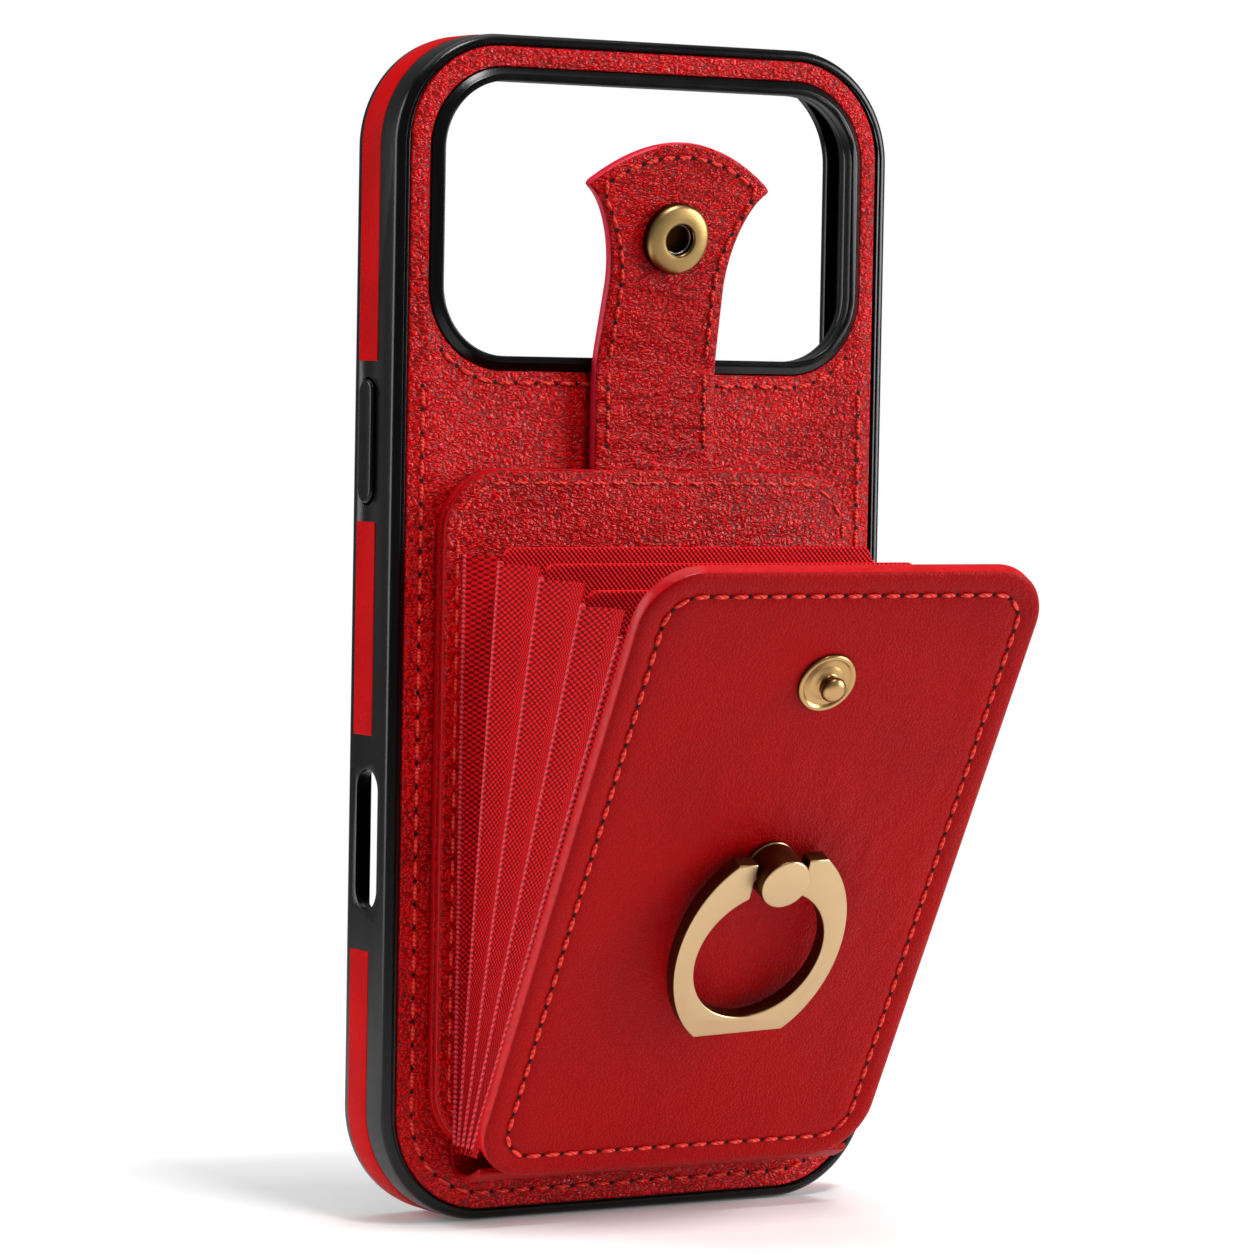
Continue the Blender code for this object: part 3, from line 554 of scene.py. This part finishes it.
SHELL_X = (-40.6, 40.6)
SHELL_Z = (0, 166.8)
KEYS = {
    "side_key": (-1, (100.9, 118.3)),
    "action_key": (1, (127, 134)),
    "volume_up_key": (1, (112.5, 123.5)),
    "volume_down_key": (1, (98.8, 109.8)),
}
KEY_Y = 5.45
LENS_X, LENS_Z = 0.25, 141.05


def lens_block(grow, y, corner=9.8):
    """The wide camera opening, grown all round."""
    x = (LENS_X - 33.65 - grow, LENS_X + 33.65 + grow)
    z = (LENS_Z - 19.2 - grow, LENS_Z + 19.2 + grow)
    return x, y, z, corner + grow


def key_grooves():
    for side, (low, high) in KEYS.values():
        yield on_wall(side, (39.5, 42), (KEY_Y - 2.3, KEY_Y + 2.3), (low - 0.3, high + 0.3), 2.28)


slot_scoop = on_wall(-1, (39.85, 42), (-0.7, 8.5), (41.2, 65.8), 4.58,
                     inner=[(0.35, 0.3), (0.45, 0.2), (0.6, 0.12)])
slot = on_wall(-1, (35, 42), (0.8, 7.0), (43.9, 63.7), 3.08)
ridge_and_groove = rounding(1.1, 6) + [(0.12, 0.0), (0.08, -0.16), (0.1, 0.0), (0.08, 0.14)]
piece(
    "case_frame",
    plate(SHELL_X, (-2.4, 10), SHELL_Z, 16, near=ridge_and_groove, far=rounding(1.1, 6), segments=28),
    PLASTIC,
    cuts=[
        block((-38.9, 38.9), (0, 8.8), (1.7, 165.1), 14.3),
        block((-37.3, 37.3), (8.5, 10.5), (3.3, 163.5), 12.7),
        block((-38.8, 38.8), (-3, -1.3), (1.35, 165.45), 14.3),
        block(*lens_block(0, (-3, 1))),
        slot_scoop,
        slot,
        in_floor((-6.4, 6.4), (1.3, 7.5), 3.05),
        in_floor((-24, -11), (2.1, 6.7), 2.25),
        in_floor((11, 24), (2.1, 6.7), 2.25),
        *key_grooves(),
    ],
    edge=(0.18, 2, 50),
    nodes=["frame_shell"],
)
piece(
    "camera_surround",
    plate(*lens_block(1.95, (-3.1, -1.25)), near=[(0.1, 0.22), (0.75, 0.42), (0.12, 0.12), (0.15, 0.03)]),
    PLASTIC,
    cuts=[block(*lens_block(0, (-4, 1)))],
    edge=(0.22, 3, 50),
)

# ---- leather let into the walls, and the keys ----

INLAY_SPANS = {
    ("left", "top"): (120.8, 170), ("left", "middle"): (68.4, 98.4), ("left", "bottom"): (-3, 38.2),
    ("right", "top"): (138, 170), ("right", "middle"): (60, 96), ("right", "bottom"): (-3, 46),
}
PROUD = 0.1
for (side, part), span in INLAY_SPANS.items():
    reach = (-50, -25) if side == "left" else (25, 50)
    piece(
        f"inlay_{side}_{part}",
        block((-40.6 - PROUD, 40.6 + PROUD), (2.7, 8.2), (-PROUD, 166.8 + PROUD), 16 + PROUD, 28),
        INLAY,
        cuts=[block((-39.95, 39.95), (0, 10), (0.65, 166.15), 15.35, 28)],
        keep=block(reach, (2, 9), span),
        edge=(0.22, 3, 50),
        nodes=[f"inlay_{side}_{part}"],
    )

for name, (side, (low, high)) in KEYS.items():
    cap = on_wall(side, (39.95, 41.1), (KEY_Y - 2, KEY_Y + 2), (low, high), 1.96, outer=rounding(0.45, 5))
    piece(name + "_cap", cap, PLASTIC, name, nodes=[name])

# ---- leather back ----

leather = plate((-38.5, 38.5), (-2.4, -1.35), (1.65, 165.15), 14, near=rounding(0.35, 4))
piece("back_panel", leather, LEATHER, cuts=[block(*lens_block(2.05, (-4, 0)))], edge=(0.22, 3, 50),
      nodes=["back_leather"])


# ---- seams ----

def arc(x, z, radius, start, end, count=12):
    """Points round part of a circle, in degrees from +X towards +Z."""
    turns = (math.radians(start + (end - start) * i / count) for i in range(count + 1))
    return [(x + radius * math.cos(a), z + radius * math.sin(a)) for a in turns]


def evenly(points, pitch):
    """(x, z, heading) of the stitches and of the needle holes between them along a path."""
    runs = [math.dist(a, b) for a, b in zip(points, points[1:])]
    count = round(sum(runs) / pitch)
    step = sum(runs) / count
    for i in range(2 * count + 1):
        left = min(i * step / 2, sum(runs) - 1e-6)  # just short of the end
        for (a, b), run in zip(zip(points, points[1:]), runs):
            if left <= run:
                share = left / run
                heading = math.atan2(b[0] - a[0], b[1] - a[1])
                yield i % 2, a[0] + (b[0] - a[0]) * share, a[1] + (b[1] - a[1]) * share, heading
                break
            left -= run


THREAD_PROUD, HOLE_PROUD, HOLE_RADIUS = 0.06, 0.02, 0.33


def seam(name, paths, pitch, y, body="root", at=CASE, nodes=(), long=2.3, thick=0.33):
    """Stitches that dive into needle holes along paths on the surface at y; each hole is a flat dark disc of
    painted shade.
    """
    threads, holes = bmesh.new(), bmesh.new()
    sunk = Matrix.Translation((0, THREAD_PROUD - HOLE_PROUD, 0))
    face_out = sunk @ Matrix.Rotation(math.radians(90), 4, "X")
    size = Matrix.Diagonal((thick, thick, long / 2, 1))
    for path in paths:
        for is_stitch, x, z, heading in evenly(path, pitch):
            spot = Matrix.Translation((x, y - THREAD_PROUD, z)) @ Matrix.Rotation(heading, 4, "Y")
            if is_stitch:
                bmesh.ops.create_uvsphere(threads, u_segments=6, v_segments=6, radius=1, matrix=spot @ size)
            else:
                # A flat disc of painted shade for each needle hole.
                bmesh.ops.create_circle(holes, cap_ends=True, segments=9, radius=HOLE_RADIUS,
                                        matrix=spot @ face_out)
    piece(name, threads, THREAD, body, at, nodes=nodes, angle=80)
    piece(name + "_needle_holes", holes, NEEDLE_HOLE_SHADE, body, at)


def upright_loop(half, low, high, corner, top=None):
    """A rounded path round a panel; with top, an open one that starts and ends at that height."""
    points = [(-half, top if top else high - corner), (-half, low + corner)]
    points += arc(-half + corner, low + corner, corner, 180, 270)
    points += arc(half - corner, low + corner, corner, 270, 360)
    if top:
        return points + [(half, top)]
    points += arc(half - corner, high - corner, corner, 0, 90)
    return points + arc(-half + corner, high - corner, corner, 90, 180)


under_lens = arc(LENS_X - 23.65, 131.5, 13.4, 222, 270) + arc(LENS_X + 23.65, 131.5, 13.4, 270, 318)
round_back = upright_loop(36.2, 3.95, 0, 11.7, top=117.5)
seam("back_seam", [round_back, under_lens], 3.3, -2.4, nodes=["back_thread"])
seam("panel_seam", [upright_loop(31.95, 11.85, 104.15, 7.6)], 3.2, -5.46, nodes=["panel_thread"], thick=0.28)
seam("cover_seam", [upright_loop(28.4, 2.15, 92.7, 4.85)], 3.0, -1.27, "cover", COVER, ["cover_thread"])

# ---- wallet back panel and hinge strip ----

roll = rounding(0.62, 5)
plies = [plate((-33.9, 33.9), y, (9.9, 106.1), 9.5, near=roll, far=roll)
         for y in ((-5.5, -3.98), (-4.0, -2.42))]
piece("wallet_panel", painted_sides(joined(*plies)), (LEATHER, COVER_EDGE), nodes=["wallet_back_panel"])

STRIP = [(-3.3, 11.5), (-3.4, 9.6), (-4.0, 8.0), (-5.4, 7.2), (-7.2, 6.9), (-9.0, 7.2), (-10.6, 7.9),
         (-12.0, 8.6)]
STRIP_HALF = 30.4


def along_strip(u, v):
    """Smoothly through the strip's section, from the panel's foot to under the cover."""
    spot = v * (len(STRIP) - 1)
    i = min(int(spot), len(STRIP) - 2)
    share = spot - i
    a, b = STRIP[i], STRIP[i + 1]
    return Vector((STRIP_HALF * (2 * u - 1), a[0] + (b[0] - a[0]) * share, a[1] + (b[1] - a[1]) * share))


strip = cloth(6, 42, along_strip, (2 * STRIP_HALF, 14))
for _ in range(6):
    bmesh.ops.smooth_vert(strip, verts=[v for v in strip.verts if not v.is_boundary], factor=0.5,
                          use_axis_x=False, use_axis_y=True, use_axis_z=True)
hinge = piece("hinge_strip", strip, SMOOTH_LEATHER, None, thick=1.0, edge=(0.3, 3, 50), nodes=["hinge_spine"])
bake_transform(hinge)

# ---- dividers with their twisted edges ----


def ridges(x, low, high, radius):
    """A cord up each edge of a leaf."""
    bm = bmesh.new()
    for side in (-x, x):
        spot = Matrix.Translation((side, 0, (low + high) / 2))
        bmesh.ops.create_cone(bm, cap_ends=True, segments=14, radius1=radius, radius2=radius,
                              depth=high - low, matrix=spot)
    return bm


soft_edge = rounding(0.28, 3)
for number, at in enumerate(DIVIDERS, 1):
    body = f"divider_{number}"
    board = plate((-30.2, 30.2), (-0.4, 0.4), (0.8, 85.5), 1.4, near=soft_edge, far=soft_edge, segments=8)
    flat_map = board.loops.layers.uv.new("UVMap")
    for face in board.faces:
        for loop in face.loops:
            loop[flat_map].uv = (loop.vert.co.x, loop.vert.co.z)
    sheet = piece(f"pocket_divider_{number}", board, FABRIC, body, at, nodes=[body])
    piece(f"divider_edges_{number}", ridges(30.6, 1.0, 83.6, 0.42), ROPE, body, at, edge=(0.15, 2, 50))

piece("panel_ridges", ridges(30.9, 11.5, 94.2, 0.34), ROPE, at=Matrix.Translation((0, LEAVES[0][0], 0)),
      edge=(0.15, 2, 50))

# ---- gussets ----

GUSSET_LOW = 10.4
GUSSET_HALF = 30.75
# for each pocket: its top, how far its fold goes in, the fold's power, and its gaps to the leaves
GUSSETS = [
    (94.0, 4.6, 1.0, -0.1, 0.3),
    (93.2, 1.6, 0.75, -0.3, 0.3),
    (91.5, 1.6, 0.75, -0.3, 0.3),
    (88.4, 1.6, 0.75, -0.3, 0.3),
    (84.6, 0.8, 0.75, -0.3, 1.15),
]
FLAT_WIDE, FLAT_LONG = 10.0, 84.0


def leaf_y(hinge, z):
    y, hinge_z, lean = hinge
    return y - (z - hinge_z) * math.tan(math.radians(lean))


def gusset(side, index):
    """One pocket's side: from the leaf behind it to the leaf in front, folded inwards."""
    top, fold_in, power, rear_gap, front_gap = GUSSETS[index]

    def place(u, v):
        z = GUSSET_LOW + (top - GUSSET_LOW) * v
        rear = leaf_y(LEAVES[index], z) + rear_gap
        front = leaf_y(LEAVES[index + 1], z) + front_gap
        inward = fold_in * (1 - abs(2 * u - 1)) ** power * (0.25 + 0.75 * v)
        return Vector((side * (GUSSET_HALF - inward), rear + (front - rear) * u, z))

    width = abs(place(0, 1).y - place(1, 1).y)
    return cloth(16, 60, place, (max(width, 4), top - GUSSET_LOW))


for index in range(len(GUSSETS)):
    hinge_y, hinge_z, lean = LEAVES[index]
    for side, word in ((-1, "left"), (1, "right")):
        shape = gusset(side, index)
        area = sum(face.calc_area() for face in shape.faces)
        width = max(FLAT_WIDE, area / FLAT_LONG)
        name = f"gusset_{word}_{index + 1}"
        soft = piece(name + "_cloth", shape, GUSSET_FABRIC, f"divider_{index}" if index else "root",
                     nodes=[name], thick=0.22, angle=60)
        width * MM
        max(area / width, 10.0) * MM
        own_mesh(soft)

# ---- front cover ----

ROLLED_BAND = [(0.1, 0.25), (0.2, 0.2), (0.35, 0.14), (0.5, 0.07), (0.6, 0.02), (0.7, -0.03), (0.45, -0.1),
               (0.3, -0.1)]
CHANNEL = [(0.75, 0.0)]
CUSHION = [(0.25, 0.1), (0.35, 0.1), (0.7, 0.07), (1.6, 0.05)]
cushion = plate((-32.05, 32.05), (-1.55, 1.0), (-1.5, 96.35), 8.5, near=ROLLED_BAND + CHANNEL + CUSHION,
                far=rounding(0.3, 3))
cover = piece("cover_panel", painted_sides(cushion), (SMOOTH_LEATHER, COVER_EDGE), "cover", COVER, angle=40,
              nodes=["cover_leather", "cover_board"])
inside = plate((-31.2, 31.2), (0.9, 1.42), (-0.7, 95.5), 7.7, far=rounding(0.25, 3))
piece("cover_inside", inside, LINING, "cover", COVER, nodes=["cover_lining"])

# ---- snap stud, ring hub and ring ----

stud = [(0, 4.65), (0.5, 4.63), (0.9, 4.55), (1.25, 4.42), (1.55, 4.2), (1.78, 3.92), (1.85, 3.6),
        (1.75, 3.3), (1.55, 3.1), (1.38, 2.9), (1.35, 2.7), (1.42, 2.4), (1.6, 2.2), (2.3, 2.05),
        (2.6, 1.85), (3.5, 1.85), (3.8, 2.2), (4.2, 2.2), (4.4, 1.95), (4.4, 1.3)]
piece("stud", turned(stud), STUD_BRASS, "cover", STUD, nodes=["snap_stud"], edge=(0.06, 2, 30), angle=50)
hub = [(0, 5.8), (3.45, 5.8), (3.62, 5.73), (3.72, 5.6), (3.75, 5.45), (3.75, 1.25), (3.6, 1.1), (3.6, 0.9),
       (3.75, 0.75), (3.75, 0.4), (3.6, 0.2), (1.35, 0.2), (1.35, 0.75), (2.3, 0.75), (2.3, 1.65), (0, 1.65)]
piece("hub", turned(hub, True), RING_BRASS, "ring_hub", RING, nodes=["ring_hub"], edge=(0.05, 2, 40),
      angle=45)
piece(
    "ring",
    oval(13.25, 16.8, -11.7, 2.4),
    RING_BRASS,
    "finger_ring",
    PIVOT,
    cuts=[oval(10.1, 10.4, -12.7, 6), block((-4.05, 4.05), (-3, 3), (-12, 5)),
          block((-20, 20), (-3, 3), (2.5, 20)), block((-20, 20), (-3, 3), (-40, -25.9))],
    edge=(0.42, 3, 45),
    nodes=["finger_ring"],
)

# ---- strap ----

HALF_THICK, SOFT = 0.95, 0.5
STEM_HALF, WAIST_HALF, WAIST_UP = 9.9, 9.5, 11
TIP_UP, CROWN_UP, TIP_HALF, TIP_ROUND = 25.8, 32.2, 15.2, 0.9
FOLD_HALF = 3


def half_width(z):
    """Half the width of the strap, z up from the upper fold: a stem, a waist and two blunt flared tips."""
    half = STEM_HALF - (STEM_HALF - WAIST_HALF) * max(0.0, min(1.0, z / WAIST_UP))
    flare = (TIP_HALF - WAIST_HALF) * (max(0.0, z - WAIST_UP) / (TIP_UP - WAIST_UP)) ** 2
    into_tip = max(0.0, min(TIP_ROUND, z - TIP_UP + TIP_ROUND))
    return half + flare - TIP_ROUND + math.sqrt(TIP_ROUND**2 - into_tip**2)


def leaned(x, y, z):
    """Bends the flat strap forward over the upper fold."""
    turn = math.radians(HEAD_LEAN)
    radius = 2 * FOLD_HALF / turn
    angle = turn * max(0.0, min(1.0, (z + FOLD_HALF) / (2 * FOLD_HALF)))
    beyond = min(0.0, z + FOLD_HALF) + max(0.0, z - FOLD_HALF)
    line_y = -radius * (1 - math.cos(angle)) - beyond * math.sin(angle)
    line_z = -FOLD_HALF + radius * math.sin(angle) + beyond * math.cos(angle)
    return Vector((x, STRAP_Y + line_y + y * math.cos(angle),
                   UPPER_FOLD_Z + line_z + y * math.sin(angle)))


snap_hole = turned([(0, 3), (2.1, 3), (2.1, -3), (0, -3)], steps=48)
snap_hole.transform(SNAP)
CORNER_STEPS, FACE_STEPS = 7, 17
SECTION = []
for sense in (1, -1):
    for i in range(CORNER_STEPS):
        turn = math.radians(-90 + 180 * i / (CORNER_STEPS - 1))
        level = 0 if abs(math.sin(turn)) < 0.01 else math.copysign(1, math.sin(turn))
        SECTION.append((sense, sense * level, sense * math.cos(turn), sense * math.sin(turn)))
    for i in range(1, FACE_STEPS + 1):
        across = 1 - 2 * i / (FACE_STEPS + 1)
        SECTION.append((sense * across, sense, 0.0, sense * 1.0))


def strap_part(stations):
    """Lofts the strap's rounded section; each station is (z, half thickness, how far up the crown)."""

    def place(around, along):
        z, half, crown = stations[along]
        p, q, c, s = SECTION[around]
        x = p * (half_width(z) - SOFT) + SOFT * c
        y = q * (half - SOFT) + SOFT * s
        rise = (CROWN_UP - TIP_UP) * (1 - (x / TIP_HALF) ** 2) * crown
        return leaned(x, y, z + rise)

    return tube(len(SECTION), len(stations), place)


def finish_strap(name, stations, nodes, cuts=()):
    bm = painted_sides(strap_part(stations), (0, 0.974, 0.22), 0.6)
    obj = piece(name, bm, (STRAP_LEATHER, STRAP_EDGE), None, nodes=nodes, angle=50, cuts=cuts)
    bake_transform(obj)


STRAP_LOW, SPLIT = -25, -6.5
CROWN_POWER = 2.2
lower = [(STRAP_LOW + 0.65 * i, HALF_THICK, 0.0) for i in range(29)]
lower.append((SPLIT, HALF_THICK, 0.0))
finish_strap("strap_lower", lower,
             ["strap_tab", "strap_fold_root", "strap_bridge_face", "strap_bridge_lining"])
rows = [(SPLIT + 0.6 * i, HALF_THICK) for i in range(53)]
for degrees in (0, 25, 50, 75, 90):
    turn = math.radians(degrees)
    rows.append((TIP_UP - SOFT + SOFT * math.sin(turn), HALF_THICK - SOFT + SOFT * math.cos(turn)))
upper = [(z, half, max(0.0, z / TIP_UP) ** CROWN_POWER) for z, half in rows]
finish_strap("strap_upper", upper,
             ["strap_fold_upper", "strap_end_face", "strap_end_lining"], [snap_hole])


def strap_seam(inset):
    """Up the right side, over the crown and down the left side of the strap's end."""
    right = [(half_width(z) - inset, z) for z in (1.0 + 1.2 * i for i in range(20)) if z < TIP_UP - 1.2]
    rise = CROWN_UP - TIP_UP
    radius = (TIP_HALF**2 + rise**2) / (2 * rise)
    reach = math.degrees(math.asin((TIP_HALF - inset - 1.1) / (radius - inset)))
    crown = arc(0, CROWN_UP - radius, radius - inset, 90 - reach, 90 + reach, 20)
    return right + crown + [(-x, z) for x, z in reversed(right)]


seam("strap_seam", [strap_seam(1.9)], 2.7, -0.97, "strap_end", HEAD, ["strap_thread"], long=1.95, thick=0.31)

bridge_lines = [[(x, 109.4), (x, 120.2)] for x in (-7.95, 7.95)]
seam("bridge_seam", bridge_lines, 2.7, STRAP_Y - 0.97, "strap_bridge", long=1.95, thick=0.31)

socket = [(2.15, 2.5), (2.3, 2.68), (2.55, 2.76), (3.2, 2.74), (4.2, 2.62), (4.65, 2.42), (4.95, 2.12),
          (5.08, 1.8), (5.1, 1.5), (5.1, 0.85), (2.05, 0.85), (2.05, 0.37), (0, 0.37), (0, 0.5), (1.92, 0.5),
          (1.92, 1.4), (2.15, 1.5), (2.75, 1.5), (2.75, 2.1), (2.15, 2.1)]
piece("socket", turned(socket, True), SOCKET_BRASS, "strap_end", SNAP, nodes=["snap_socket"], angle=50)
wire = arc(2.08, 1.8, 0.15, 90, -250, 9)
piece("socket_spring", turned(wire, True), STEEL, "strap_end", SNAP, nodes=["snap_spring"], angle=80)
cap = [(0, 0.35), (1.35, 0.35), (1.5, 0.2), (1.5, -0.9), (5.45, -0.9), (5.6, -1.1), (5.6, -1.5),
       (5.35, -1.85), (4.9, -2.1), (4.1, -2.33), (3.2, -2.5), (1.6, -2.58), (0, -2.6)]
piece("socket_cap", turned(cap), CAP_BRASS, "strap_end", SNAP, nodes=["snap_cap"], angle=50)

# ---- pieces kept from the frame ----

KEPT = {"ring_pin": RING_BRASS, "hub_rivet": RING_BRASS, "hub_washer": RING_BRASS, "stud_washer": STUD_BRASS}
for node, finish in KEPT.items():
    for material_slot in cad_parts[node].material_slots:
        material_slot.material = finish

# ---- floor, light and camera ----

ground = bmesh.new()
bmesh.ops.create_grid(ground, x_segments=1, y_segments=1, size=0.6,
                      matrix=Matrix.Translation((0, 0, -0.2 * MM)))
floor_mesh = bpy.data.meshes.new("floor")
ground.to_mesh(floor_mesh)
ground.free()
floor = bpy.data.objects.new("floor", floor_mesh)
bpy.context.scene.collection.objects.link(floor)
paper = Finish("white_paper", roughness=0.9, gloss=0.1)
paper.set("Base Color", (0.95, 0.95, 0.95, 1))
paper.set("Emission Color", (1, 1, 1, 1))
paper.set("Emission Strength", 0.07)
paper.set("Alpha", paper.place.vector("LENGTH", out=1).between(140, 420, 1.0, 0.0))
floor_mesh.materials.append(paper.material)

world = bpy.data.worlds.new("studio")
world.use_nodes = True
world.node_tree.nodes["Background"].inputs["Color"].default_value = (1, 1, 1, 1)
world.node_tree.nodes["Background"].inputs["Strength"].default_value = 0.2
seen = world.node_tree.nodes.new("ShaderNodeBackground")
seen.inputs["Color"].default_value = (1, 1, 1, 1)
direct = world.node_tree.nodes.new("ShaderNodeLightPath")
either = world.node_tree.nodes.new("ShaderNodeMixShader")
links = world.node_tree.links
links.new(direct.outputs["Is Camera Ray"], either.inputs[0])
links.new(world.node_tree.nodes["Background"].outputs[0], either.inputs[1])
links.new(seen.outputs[0], either.inputs[2])
links.new(either.outputs[0], world.node_tree.nodes["World Output"].inputs["Surface"])
bpy.context.scene.world = world
bpy.context.scene.view_settings.view_transform = "Standard"


def softbox(name, place, aim, size, power):
    light = bpy.data.lights.new(name, "AREA")
    light.shape = "RECTANGLE"
    light.size, light.size_y = size
    light.energy = power
    obj = bpy.data.objects.new(name, light)
    obj.matrix_world = Matrix.Translation(place) @ (
        (Vector(place) - Vector(aim)).to_track_quat("Z", "Y").to_matrix().to_4x4())
    bpy.context.scene.collection.objects.link(obj)


CENTRE = (0, 0, 0.085)
softbox("left_box", (-0.66, 0.42, 0.28), CENTRE, (0.4, 0.7), 4.4)
softbox("right_box", (0.82, -0.5, 0.3), CENTRE, (0.45, 0.6), 10.0)
softbox("front_top_box", (0.05, -0.45, 0.85), CENTRE, (0.2, 0.2), 4.6)
softbox("top_box", (0, 0.1, 0.9), CENTRE, (0.8, 0.8), 3.4)

back = Vector((-0.51309, -0.85697, 0.04817)).normalized()
right = Vector((0, 0, 1)).cross(back).normalized()
up = back.cross(right)
roll_angle = math.radians(1.027)
camera_x = right * math.cos(roll_angle) + up * math.sin(roll_angle)
camera_y = up * math.cos(roll_angle) - right * math.sin(roll_angle)
turn = Matrix((camera_x, camera_y, back)).transposed().to_4x4()
camera_data = bpy.data.cameras.new("camera")
camera_data.lens = 148.9
camera_data.sensor_width = 36
camera = bpy.data.objects.new("camera", camera_data)
target = Vector((-0.002428, -0.0024, 0.083613))
camera.matrix_world = Matrix.Translation(target + back * 0.73959) @ turn
bpy.context.scene.collection.objects.link(camera)
bpy.context.scene.camera = camera
